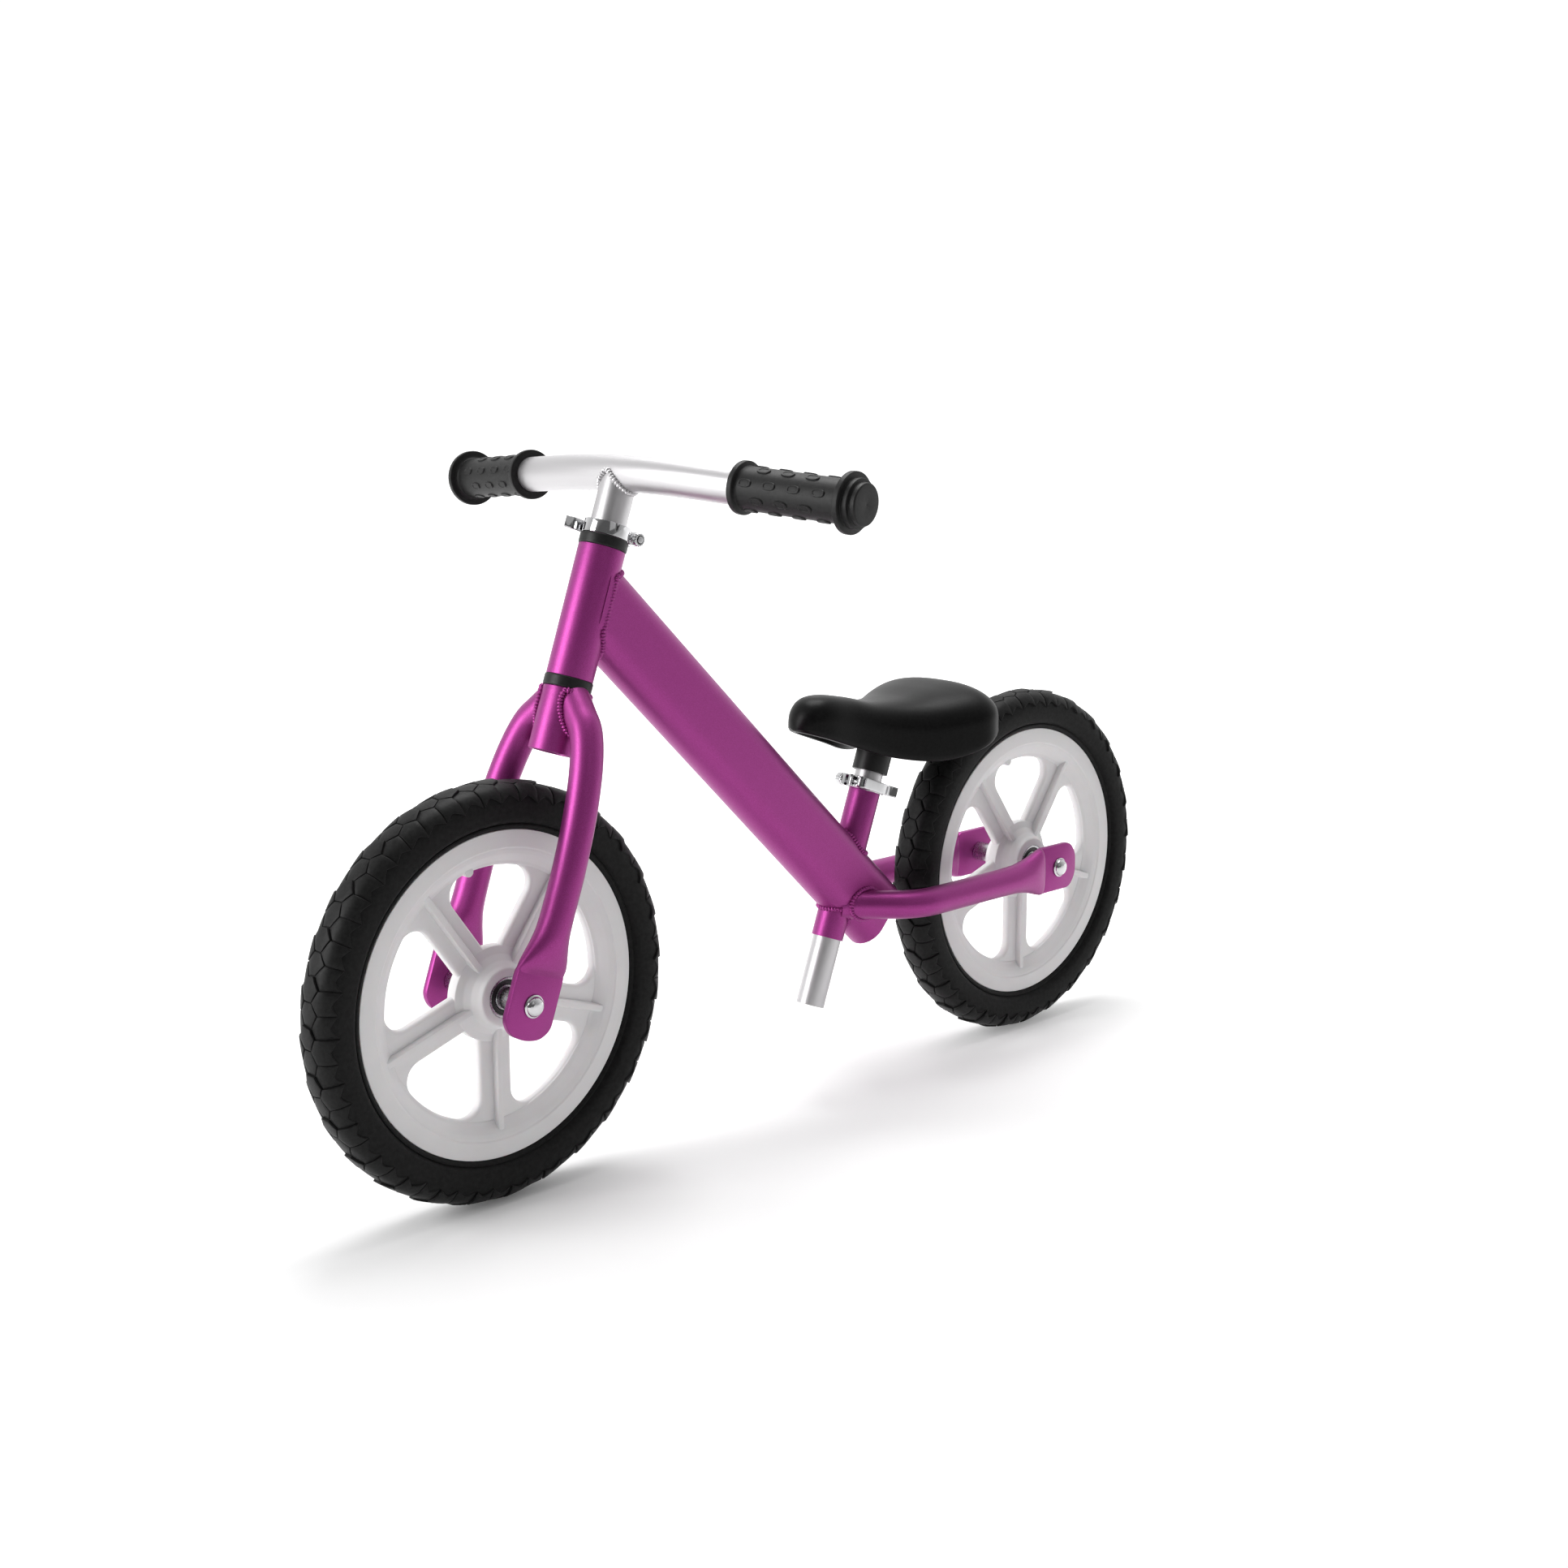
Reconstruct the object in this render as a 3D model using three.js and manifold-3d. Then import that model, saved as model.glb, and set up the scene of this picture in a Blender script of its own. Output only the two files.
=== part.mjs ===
// Balance bike with 12-inch foam tyres: millimetres, +X forward, +Y to the rider's left, +Z up.
// The origin lies on the ground midway between the two wheels.
import * as THREE from 'three';
import { mergeVertices } from 'three/addons/utils/BufferGeometryUtils.js';
import Module from 'manifold-3d';

const wasm = await Module();
wasm.setup();

// ---- driving dimensions ----
const GAP = 0.3; // clearance between pieces that touch

const WHEELBASE = 560.7;
const TYRE_RADIUS = 146; // 292 mm over the tread
const TYRE_HALF_WIDTH = 17.4;
const WHEEL_SIDES = 32;
const RIM_RADIUS = 113.3;
const RIM_HALF_WIDTH = 12.3;
const WEB_HALF = 4; // half thickness of the web that the spokes are cut from
const SPOKES = 5;
const SPOKE_HALF_WIDTH = 13.3;
const RIB_WIDTH = 5.6;
const RIB_HALF_DEPTH = 9;
const OPENING_OUTER = 87.8;
const HUB_FACE = 17.5; // hub end faces, from the wheel's middle plane
const HUB_RADIUS = 20;

const BEARING_OUTER = 14; // 12 x 28 x 8 mm deep-groove bearings
const BEARING_BORE = 6;
const BEARING_WIDTH = 8;
const BEARING_INNER_RING = 8.5;
const AXLE_RADIUS = 6;
const BOLT_RADIUS = 3;
const BOLT_HEAD_RADIUS = 8.1;

const PLATE_INNER = 41.5; // dropout plates, from the bike's middle plane
const PLATE_THICKNESS = 5;
const PLATE_OUTER = PLATE_INNER + PLATE_THICKNESS;

const STEERING_LEAN = THREE.MathUtils.degToRad(19.7);
const HEAD_TUBE = { start: 219.2, end: 310.8, outer: 16.4, inner: 15.4 };
const STEERER = { start: 169, end: 328, outer: 14, inner: 12.85 };
const CROWN = { start: 166.9, end: 211.2, outer: 16, inner: 14.35 };
const BUSH_FLANGE = 7.3;
const BUSH_SLEEVE = 20;
const STEM = { start: 240, radius: 12.5, wall: 2 };
const BAR_HEIGHT = 364; // handlebar centre above the front axle, along the steering axis

const BLADE_RADIUS = 11.3;
const STAY_RADIUS = 11.2;
const TUBE_WALL = 2;

const SPINE_SLOPE = THREE.MathUtils.degToRad(43.65);
const SPINE_END = new THREE.Vector3(-100.9, 0, 130.4); // middle of the cut rear end
const SPINE_LENGTH = 470;
const SPINE_HALF_WIDTH = 17;
const SPINE_HALF_HEIGHT = 28.5;

const SEAT_LEAN = THREE.MathUtils.degToRad(20.65);
const SEAT_FOOT = new THREE.Vector3(-47.8, 0, 120.9); // lower end of the seat tube
const SEAT_TUBE = { length: 127.5, outer: 12.5, inner: 11.35 };
const POST = { start: -54.2, end: 172, outer: 11, inner: 9.6 };
const SOCKET = { start: 134.1, end: 180, outer: 14.15, inner: 11.35 };

const CLAMP_HEIGHT = 9.2;
const SLOT = 3; // saw slot under each clamp

const GRIP_START = 109.1; // sideways distance of the grip's inner flange
const GRIP_LENGTH = 99.2;

// ---- finishes ----
const finish = (color, roughness, metalness) =>
  new THREE.MeshStandardMaterial({ color, roughness, metalness });
const magenta = finish(0xb0489a, 0.32, 0.6);
const satin = finish(0xc9c7c8, 0.35, 0.95);
const chrome = finish(0xd8d8da, 0.12, 1);
const steel = finish(0x9b9a9c, 0.3, 1);
const offWhite = finish(0xd9d4d6, 0.55, 0);
const foam = finish(0x161617, 0.8, 0);
const rubber = finish(0x1c1c1d, 0.7, 0);
const blackPlastic = finish(0x121213, 0.5, 0);

// ---- solids ----
function solid(geometry) {
  const bare = geometry.clone();
  bare.deleteAttribute('normal');
  bare.deleteAttribute('uv');
  const merged = mergeVertices(bare, 1e-4);
  const mesh = new wasm.Mesh({
    numProp: 3,
    vertProperties: new Float32Array(merged.attributes.position.array),
    triVerts: new Uint32Array(merged.index.array),
  });
  return new wasm.Manifold(mesh);
}

function geometryOf(manifold) {
  const mesh = manifold.getMesh();
  const geometry = new THREE.BufferGeometry();
  geometry.setAttribute('position', new THREE.BufferAttribute(new Float32Array(mesh.vertProperties), 3));
  geometry.setIndex(new THREE.BufferAttribute(new Uint32Array(mesh.triVerts), 1));
  geometry.computeVertexNormals();
  return geometry;
}

const cut = (body, ...tools) =>
  geometryOf(tools.reduce((rest, tool) => rest.subtract(solid(tool)), solid(body)));
const join = (body, ...others) =>
  geometryOf(others.reduce((sum, other) => sum.add(solid(other)), solid(body)));

function box(x0, x1, y0, y1, z0, z1) {
  const geometry = new THREE.BoxGeometry(x1 - x0, y1 - y0, z1 - z0);
  return geometry.translate((x0 + x1) / 2, (y0 + y1) / 2, (z0 + z1) / 2);
}

// A turned piece about Z; the profile runs anticlockwise as [radius, height] pairs.
function turned(profile, sides = 18) {
  const points = profile.map(([radius, height]) => new THREE.Vector2(radius, height));
  return new THREE.LatheGeometry([...points, points[0]], sides, Math.PI / sides).rotateX(Math.PI / 2);
}

// A turned piece about the wheel axle, Y, with a flat facet facing the ground.
function turnedAcross(profile, sides = 12) {
  const points = profile.map(([radius, y]) => new THREE.Vector2(radius, y));
  return new THREE.LatheGeometry([...points, points[0]], sides, Math.PI / sides);
}

const sleeve = (inner, outer, from, to, sides) =>
  turned([[inner, from], [outer, from], [outer, to], [inner, to]], sides);
const sleeveAcross = (inner, outer, from, to, sides) =>
  turnedAcross([[inner, from], [outer, from], [outer, to], [inner, to]], sides);
const rod = (radius, from, to, sides = 20) =>
  new THREE.CylinderGeometry(radius, radius, to - from, sides)
    .rotateX(Math.PI / 2).translate(0, 0, (from + to) / 2);
const rodAcross = (radius, from, to, sides = 20) =>
  new THREE.CylinderGeometry(radius, radius, to - from, sides).translate(0, (from + to) / 2, 0);

// A round tube swept along a curve; its ends are open.
function bentTube(curve, outer, inner, steps, sides = 10) {
  const section = new THREE.Shape().absarc(0, 0, outer, 0, 2 * Math.PI);
  if (inner > 0) section.holes.push(new THREE.Path().absarc(0, 0, inner, 0, 2 * Math.PI, true));
  return new THREE.ExtrudeGeometry(section, {
    steps, curveSegments: sides / 2, bevelEnabled: false, extrudePath: curve,
  });
}

// ---- frames that the pieces are placed in ----
const bike = new THREE.Group();
function frameAt(position, lean) {
  const group = new THREE.Group();
  group.position.copy(position);
  group.rotation.y = lean;
  bike.add(group);
  group.updateMatrixWorld(true);
  return group;
}
const frontAxlePoint = new THREE.Vector3(WHEELBASE / 2, 0, TYRE_RADIUS);
const rearAxlePoint = new THREE.Vector3(-WHEELBASE / 2, 0, TYRE_RADIUS);
const steering = frameAt(frontAxlePoint, -STEERING_LEAN); // +Z up the steering axis
const rear = frameAt(rearAxlePoint, 0);
const front = frameAt(frontAxlePoint, 0);
const spine = frameAt(SPINE_END, Math.PI / 2 - SPINE_SLOPE); // +Z up the down tube
const seat = frameAt(SEAT_FOOT, -SEAT_LEAN); // +Z up the seat tube

function add(group, name, geometry, material) {
  const mesh = new THREE.Mesh(geometry, material);
  mesh.name = name;
  group.add(mesh);
  return mesh;
}

// The same geometry, carried from one frame's coordinates to another's.
function carried(geometry, from, to) {
  const matrix = to.matrixWorld.clone().invert().multiply(from.matrixWorld);
  return geometry.clone().applyMatrix4(matrix);
}

// ---- wheels ----
const polar = (radius, angle) =>
  new THREE.Vector2(radius * Math.cos(angle), radius * Math.sin(angle));

// A rounded triangle between two spokes, centred on angle 0.
function openingShape() {
  const half = Math.PI / SPOKES;
  const apexRound = 7;
  const cornerRound = 13;
  const apex = (SPOKE_HALF_WIDTH + apexRound) / Math.sin(half);
  const reach = OPENING_OUTER - cornerRound;
  const turn = half - Math.asin((SPOKE_HALF_WIDTH + cornerRound) / reach);
  const corner = polar(reach, turn);
  const shape = new THREE.Shape();
  shape.absarc(apex, 0, apexRound, Math.PI / 2 + half, 3 * Math.PI / 2 - half, false);
  shape.absarc(corner.x, -corner.y, cornerRound, -Math.PI / 2 - half, -turn, false);
  shape.absarc(0, 0, OPENING_OUTER, -turn, turn, false);
  shape.absarc(corner.x, corner.y, cornerRound, turn, Math.PI / 2 + half, false);
  return shape;
}

function wheelGeometry() {
  const seatDepth = HUB_FACE - BEARING_WIDTH - 0.5;
  const outerSide = [
    [RIM_RADIUS, RIM_HALF_WIDTH], [100.5, RIM_HALF_WIDTH - 0.4], [89, WEB_HALF],
    [27, WEB_HALF], [HUB_RADIUS, HUB_FACE], [BEARING_OUTER + 0.4, HUB_FACE],
    [BEARING_OUTER + 0.4, seatDepth], [9.2, seatDepth],
  ];
  const mirrored = outerSide.map(([radius, y]) => [radius, -y]).reverse();
  const disc = turnedAcross([...mirrored, ...outerSide], WHEEL_SIDES);
  const ribs = [];
  const openings = [];
  for (let i = 0; i < SPOKES; i += 1) {
    const angle = (i * 2 * Math.PI) / SPOKES;
    ribs.push(box(19, 99, -RIB_HALF_DEPTH, RIB_HALF_DEPTH, -RIB_WIDTH / 2, RIB_WIDTH / 2)
      .rotateY(Math.PI / 2 + angle));
    const opening = new THREE.ExtrudeGeometry(openingShape(), {
      depth: 24, bevelEnabled: false, curveSegments: 2,
    });
    openings.push(opening.translate(0, 0, -12).rotateX(-Math.PI / 2)
      .rotateY(Math.PI / 2 + Math.PI / SPOKES + angle));
  }
  const pierced = cut(disc, ...openings);
  return join(pierced, ...ribs);
}

function tyreGeometry() {
  const upper = TYRE_RADIUS / Math.cos(Math.PI / WHEEL_SIDES); // facets touch the rolling radius
  const side = [
    [RIM_RADIUS + 0.4, 12.6], [119, 16.2], [127, TYRE_HALF_WIDTH], [138, 15],
    [upper, 7],
  ];
  const mirrored = side.map(([radius, y]) => [radius, -y]);
  return turnedAcross([...mirrored, ...side.reverse()], WHEEL_SIDES);
}

function addWheel(group, prefix) {
  add(group, `${prefix}_wheel`, wheelGeometry(), offWhite);
  add(group, `${prefix}_tyre`, tyreGeometry(), foam);
  const innerEnd = HUB_FACE - BEARING_WIDTH - 0.2;
  add(group, `${prefix}_hub_sleeve`,
    sleeveAcross(BEARING_BORE + 0.35, BEARING_INNER_RING - 0.3, -innerEnd, innerEnd), steel);
  for (const [side, sign] of [['left', 1], ['right', -1]]) {
    const across = (inner, outer, from, to) =>
      sleeveAcross(inner, outer, Math.min(sign * from, sign * to), Math.max(sign * from, sign * to));
    const near = innerEnd + GAP;
    const far = near + BEARING_WIDTH - 0.2;
    add(group, `${prefix}_bearing_outer_${side}`, across(12.3, BEARING_OUTER, near, far), steel);
    add(group, `${prefix}_bearing_inner_${side}`,
      across(BEARING_BORE + 0.35, BEARING_INNER_RING, near, far), steel);
    add(group, `${prefix}_bearing_seal_${side}`, across(9.05, 11.7, far - 1.4, far - 0.2), rubber);
    add(group, `${prefix}_spacer_${side}`,
      across(AXLE_RADIUS + 0.35, 7.9, far + GAP, PLATE_INNER - GAP), steel);
  }
}

// ---- axles and their bolts ----
function boltGeometry(sign) {
  const seatFace = PLATE_OUTER + GAP;
  const dome = [[7, seatFace + 2.4], [4.4, seatFace + 4.3], [0, seatFace + 4.8]];
  const profile = [[0, 24], [BOLT_RADIUS, 24], [BOLT_RADIUS, seatFace], [BOLT_HEAD_RADIUS, seatFace],
    [BOLT_HEAD_RADIUS, seatFace + 0.9], ...dome];
  const points = profile.map(([radius, y]) => new THREE.Vector2(radius, y));
  const bolt = new THREE.LatheGeometry(points, 12);
  return sign > 0 ? bolt : bolt.rotateX(Math.PI);
}

function addAxle(group, prefix) {
  const end = PLATE_INNER - GAP;
  add(group, `${prefix}_axle`, sleeveAcross(BOLT_RADIUS + 0.35, AXLE_RADIUS, -end, end), steel);
  add(group, `${prefix}_axle_bolt_left`, boltGeometry(1), chrome);
  add(group, `${prefix}_axle_bolt_right`, boltGeometry(-1), chrome);
}

// A dropout plate across X; its outline is [along, across] and it stands on the axle at the origin.
function dropoutPlate(outline, sign) {
  const depth = PLATE_THICKNESS;
  const hole = new THREE.Path().absarc(0, 0, BOLT_RADIUS + 0.5, 0, 2 * Math.PI, true);
  outline.holes.push(hole);
  const plate = new THREE.ExtrudeGeometry(outline, { depth, bevelEnabled: false, curveSegments: 5 });
  return plate.rotateX(Math.PI / 2).translate(0, sign > 0 ? PLATE_OUTER : -PLATE_INNER, 0);
}

// ---- fork ----
function bladePath(sign) {
  const points = [[9, 206], [20, 195.5], [31, 183.5], [39.5, 161], [45, 130],
    [47.4, 95], [47.4, 60], [46.8, 32]];
  return new THREE.CatmullRomCurve3(points.map(([y, s]) => new THREE.Vector3(0, sign * y, s)));
}

function bladePlateOutline() {
  const shape = new THREE.Shape();
  shape.moveTo(20, 30);
  shape.lineTo(11, 44);
  shape.lineTo(-11, 44);
  shape.lineTo(-20, 30);
  shape.lineTo(-20, -13);
  shape.quadraticCurveTo(-19, -19, -11, -21.5);
  shape.quadraticCurveTo(0, -24.4, 11, -21.5);
  shape.quadraticCurveTo(19, -19, 20, -13);
  return shape;
}

function addFork() {
  add(steering, 'steerer_tube', cut(
    sleeve(STEERER.inner, STEERER.outer, STEERER.start, STEERER.end),
    box(-20, -5, -SLOT / 2, SLOT / 2, STEERER.end - 22, STEERER.end + 5),
  ), magenta);
  add(steering, 'fork_crown', sleeve(CROWN.inner, CROWN.outer, CROWN.start, CROWN.end), magenta);
  for (const [side, sign] of [['left', 1], ['right', -1]]) {
    const tube = bentTube(bladePath(sign), BLADE_RADIUS, BLADE_RADIUS - TUBE_WALL, 9);
    const bored = cut(tube, rod(CROWN.outer + 0.35, 150, 230));
    add(steering, `fork_blade_${side}`, join(bored, dropoutPlate(bladePlateOutline(), sign)), magenta);
  }
}

// ---- frame tubes ----
function stadium(halfWidth, halfHeight, Kind = THREE.Shape) {
  const centre = halfHeight - halfWidth;
  const path = new Kind();
  path.absarc(centre, 0, halfWidth, -Math.PI / 2, Math.PI / 2, false);
  path.absarc(-centre, 0, halfWidth, Math.PI / 2, 3 * Math.PI / 2, false);
  return path;
}

function downTubeGeometry() {
  const outline = stadium(SPINE_HALF_WIDTH, SPINE_HALF_HEIGHT);
  outline.holes.push(stadium(SPINE_HALF_WIDTH - TUBE_WALL, SPINE_HALF_HEIGHT - TUBE_WALL, THREE.Path));
  const tube = new THREE.ExtrudeGeometry(outline, {
    depth: SPINE_LENGTH, bevelEnabled: false, curveSegments: 4,
  });
  const headCut = carried(rod(HEAD_TUBE.outer + 0.35, 150, 400), steering, spine);
  const seatCut = carried(rod(SEAT_TUBE.outer + 0.35, -40, 160), seat, spine);
  const beyond = carried(box(0, 300, -60, 60, 100, 500), steering, spine);
  return cut(tube, headCut, seatCut, beyond);
}

function endPlateGeometry() {
  const outline = stadium(SPINE_HALF_WIDTH - TUBE_WALL - GAP, SPINE_HALF_HEIGHT - TUBE_WALL - GAP);
  return new THREE.ExtrudeGeometry(outline, { depth: 2.5, bevelEnabled: false, curveSegments: 5 })
    .translate(0, 0, 0.6);
}

function stayPath(sign) {
  const points = [[-61, 6], [-72.7, 17], [-84, 28.6], [-95.5, 39], [-110, 45.8],
    [-130, 47.4], [-190, 47.4], [-246, 46.8]];
  return new THREE.CatmullRomCurve3(points.map(([x, y]) =>
    new THREE.Vector3(x + WHEELBASE / 2, sign * y, 0)));
}

function stayPlateOutline() {
  const shape = new THREE.Shape();
  shape.moveTo(36, -11);
  shape.lineTo(36, 11);
  shape.lineTo(24, 19.4);
  shape.lineTo(-14, 19.4);
  shape.quadraticCurveTo(-19.5, 18.5, -21, 11.5);
  shape.quadraticCurveTo(-23.4, 0, -21, -11.5);
  shape.quadraticCurveTo(-19.5, -18.5, -14, -19.4);
  shape.lineTo(24, -19.4);
  return shape;
}

function addFrame() {
  const headTube = sleeve(HEAD_TUBE.inner, HEAD_TUBE.outer, HEAD_TUBE.start, HEAD_TUBE.end);
  add(steering, 'head_tube', headTube, magenta);
  add(spine, 'down_tube', downTubeGeometry(), magenta);
  add(spine, 'down_tube_end_plate', endPlateGeometry(), magenta);
  add(seat, 'seat_tube', cut(
    sleeve(SEAT_TUBE.inner, SEAT_TUBE.outer, 0, SEAT_TUBE.length),
    box(5, 20, -SLOT / 2, SLOT / 2, SEAT_TUBE.length - 16, SEAT_TUBE.length + 5),
  ), magenta);
  const clearance = new THREE.ExtrudeGeometry(
    stadium(SPINE_HALF_WIDTH + 0.35, SPINE_HALF_HEIGHT + 0.35),
    { depth: 200, bevelEnabled: false, curveSegments: 5 },
  ).translate(0, 0, -40);
  for (const [side, sign] of [['left', 1], ['right', -1]]) {
    const tube = bentTube(stayPath(sign), STAY_RADIUS, STAY_RADIUS - TUBE_WALL, 9);
    const coped = cut(tube, carried(clearance, spine, rear), box(190, 240, -40, 40, -40, 40));
    add(rear, `chainstay_${side}`, join(coped, dropoutPlate(stayPlateOutline(), sign)), magenta);
  }
}

// ---- headset bushes ----
function addBushes() {
  const bore = STEERER.outer + 0.4;
  const sleeveRadius = HEAD_TUBE.inner - 0.35;
  const flange = HEAD_TUBE.outer - 0.6;
  const low = HEAD_TUBE.start - GAP;
  add(steering, 'headset_bush_lower', turned([
    [bore, low - BUSH_FLANGE], [flange, low - BUSH_FLANGE], [flange, low],
    [sleeveRadius, low], [sleeveRadius, low + BUSH_SLEEVE], [bore, low + BUSH_SLEEVE],
  ]), blackPlastic);
  const high = HEAD_TUBE.end + GAP;
  add(steering, 'headset_bush_upper', turned([
    [bore, high - BUSH_SLEEVE], [sleeveRadius, high - BUSH_SLEEVE], [sleeveRadius, high],
    [flange, high], [flange, high + BUSH_FLANGE], [bore, high + BUSH_FLANGE],
  ]), blackPlastic);
}

// ---- quick-release clamps: ears at -X, lever along -Y, in a frame at mid height ----
function leverGeometry(pivot, tip, tubeRadius) {
  const arm = new THREE.SplineCurve([
    new THREE.Vector2(pivot.x - 1, pivot.y - 4.6), new THREE.Vector2(pivot.x + 9, pivot.y - 5.4),
    new THREE.Vector2(0, -(tubeRadius + 5.2)), new THREE.Vector2(tip.x - 6, tip.y + 3.6),
    new THREE.Vector2(tip.x, tip.y),
  ]).getPoints(7);
  const normalAt = (i) => {
    const along = arm[Math.min(i + 1, arm.length - 1)].clone().sub(arm[Math.max(i - 1, 0)]).normalize();
    return new THREE.Vector2(-along.y, along.x);
  };
  const offset = (distance) => arm.map((point, i) => point.clone().addScaledVector(normalAt(i), distance));
  const band = new THREE.Shape([...offset(-1.3), ...offset(1.3).reverse()]);
  const half = CLAMP_HEIGHT / 2 - 0.3;
  const arms = new THREE.ExtrudeGeometry(band, { depth: 2 * half, bevelEnabled: false });
  arms.translate(0, 0, -half);
  const cam = rod(6, -half, half, 16).translate(pivot.x, pivot.y, 0);
  const bore = rod(4.4, -9, 9, 16).translate(pivot.x, pivot.y, 0);
  const sector = new THREE.Shape();
  sector.moveTo(0, 0);
  sector.absarc(0, 0, 12, THREE.MathUtils.degToRad(50), THREE.MathUtils.degToRad(252), false);
  const window = new THREE.ExtrudeGeometry(sector, { depth: 6.2, bevelEnabled: false, curveSegments: 6 })
    .translate(pivot.x, pivot.y, -3.1);
  return cut(join(arms, cam), bore, window);
}

function addClamp(group, prefix, tubeRadius, middle, turn, tip) {
  const frame = new THREE.Group();
  frame.position.z = middle;
  frame.rotation.z = turn;
  group.add(frame);
  const half = CLAMP_HEIGHT / 2;
  const inner = tubeRadius + 0.35;
  const outer = tubeRadius + 2.3;
  const boltX = -(tubeRadius + 6.4);
  const pivot = new THREE.Vector2(boltX, -11.7);
  const ears = box(boltX - 4.8, -(outer - 1), -5.3, 5.3, -half, half);
  const boltHole = rodAcross(2.9, -9, 9, 12).translate(boltX, 0, 0);
  add(frame, `${prefix}_clamp_collar`, cut(
    join(sleeve(inner, outer, -half, half), cut(ears, rod(inner, -9, 9))),
    box(-60, -5, -SLOT / 2, SLOT / 2, -half - 1, half + 1), boltHole,
  ), chrome);
  add(frame, `${prefix}_clamp_bolt`, rodAcross(2.5, -9.5, 13.4, 12).translate(boltX, 0, 0), steel);
  const nut = turnedAcross([[2.85, 5.6], [4.9, 5.6], [4.9, 12.8], [2.85, 12.8]], 16);
  add(frame, `${prefix}_clamp_nut`, nut.translate(boltX, 0, 0), chrome);
  const boltTip = rodAcross(2.85, -9.8, 0, 12).translate(boltX, 0, 0);
  const pin = rod(4, -half, half, 16).translate(pivot.x, pivot.y, 0);
  add(frame, `${prefix}_clamp_pin`, cut(pin, boltTip), steel);
  add(frame, `${prefix}_clamp_lever`, leverGeometry(pivot, tip, tubeRadius), chrome);
}

// ---- handlebar ----
const BAR_BEND_START = 75; // the middle is one arc; the grip ends are straight
const BAR_SWEEP = 0.1576; // rearward run per millimetre sideways in the grip ends
const BAR_DROP = 0.0235;

function barPoint(y) {
  const distance = Math.abs(y);
  const bent = Math.min(distance, BAR_BEND_START);
  const run = bent ** 2 / (2 * BAR_BEND_START) + (distance - bent);
  return new THREE.Vector3(-BAR_SWEEP * run, y, BAR_HEIGHT - BAR_DROP * run);
}

function addHandlebar() {
  const reach = GRIP_START + 91;
  const stations = [-reach, -150, -75, -50, -25, 0, 25, 50, 75, 150, reach];
  const bar = new THREE.CatmullRomCurve3(stations.map(barPoint));
  add(steering, 'handlebar_tube', bentTube(bar, STEM.radius, STEM.radius - STEM.wall, 10, 12), satin);
  add(steering, 'stem_tube', cut(
    sleeve(STEM.radius - STEM.wall, STEM.radius, STEM.start, BAR_HEIGHT - 2),
    rodAcross(STEM.radius + 0.6, -40, 40, 28).translate(0, 0, BAR_HEIGHT),
  ), satin);
  const bore = STEM.radius + 0.8; // the faceted bore clears the bar by GAP
  const grip = turned([
    [0, GRIP_LENGTH - 4.4], [bore, GRIP_LENGTH - 4.4], [bore, 0], [17.8, 0], [17.8, 4], [14.5, 4],
    [14.5, 86], [20.2, 86], [20.2, 90], [16.4, 90], [16.4, 94.6], [13.9, 94.6], [13.2, GRIP_LENGTH],
    [0, GRIP_LENGTH],
  ], 14);
  for (const [side, sign] of [['left', 1], ['right', -1]]) {
    const start = barPoint(sign * GRIP_START);
    const direction = barPoint(sign * (GRIP_START + 50)).sub(start).normalize();
    const mesh = add(steering, `grip_${side}`, grip, rubber);
    mesh.position.copy(start);
    mesh.quaternion.setFromUnitVectors(new THREE.Vector3(0, 0, 1), direction);
  }
}

// ---- saddle ----
const SADDLE_CENTRE = -110;
const SADDLE_OUTLINE = [ // half outline from nose to tail: x, half width
  [-11, 0], [-16.5, 12], [-31, 19.5], [-62, 22.5], [-92, 31], [-125, 47], [-148, 58], [-168, 63.5],
  [-185, 56], [-196, 36], [-200, 0],
];
const curveThrough = (points) => new THREE.SplineCurve(points.map(([x, z]) => new THREE.Vector2(x, z)));
function heightAlong(points) {
  const samples = curveThrough(points).getPoints(80);
  return (x) => {
    const next = Math.max(1, samples.findIndex((point) => point.x <= x));
    const [a, b] = [samples[next - 1], samples[next]];
    return THREE.MathUtils.mapLinear(THREE.MathUtils.clamp(x, b.x, a.x), a.x, b.x, a.y, b.y);
  };
}
const crownHeight = heightAlong([[-8, 303], [-20, 311], [-38, 313.6], [-62, 310], [-90, 304], [-120, 304],
  [-150, 309], [-172, 312], [-188, 310], [-197, 306.5], [-204, 302]]);
const rimHeight = heightAlong([[-8, 290], [-30, 282.6], [-62, 271.5], [-92, 261.5], [-125, 256.6],
  [-152, 261], [-175, 270], [-190, 275], [-204, 277]]);
const edgeDrop = heightAlong([[-8, 8], [-62, 10], [-92, 11], [-125, 13], [-175, 13], [-204, 11]]);

function saddleOutline() {
  const mirrored = SADDLE_OUTLINE.slice(1, -1).map(([x, y]) => [x, -y]).reverse();
  const loop = [...SADDLE_OUTLINE, ...mirrored].map(([x, y]) => new THREE.Vector3(x, y, 0));
  return new THREE.CatmullRomCurve3(loop, true).getSpacedPoints(22).slice(0, 22);
}

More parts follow.
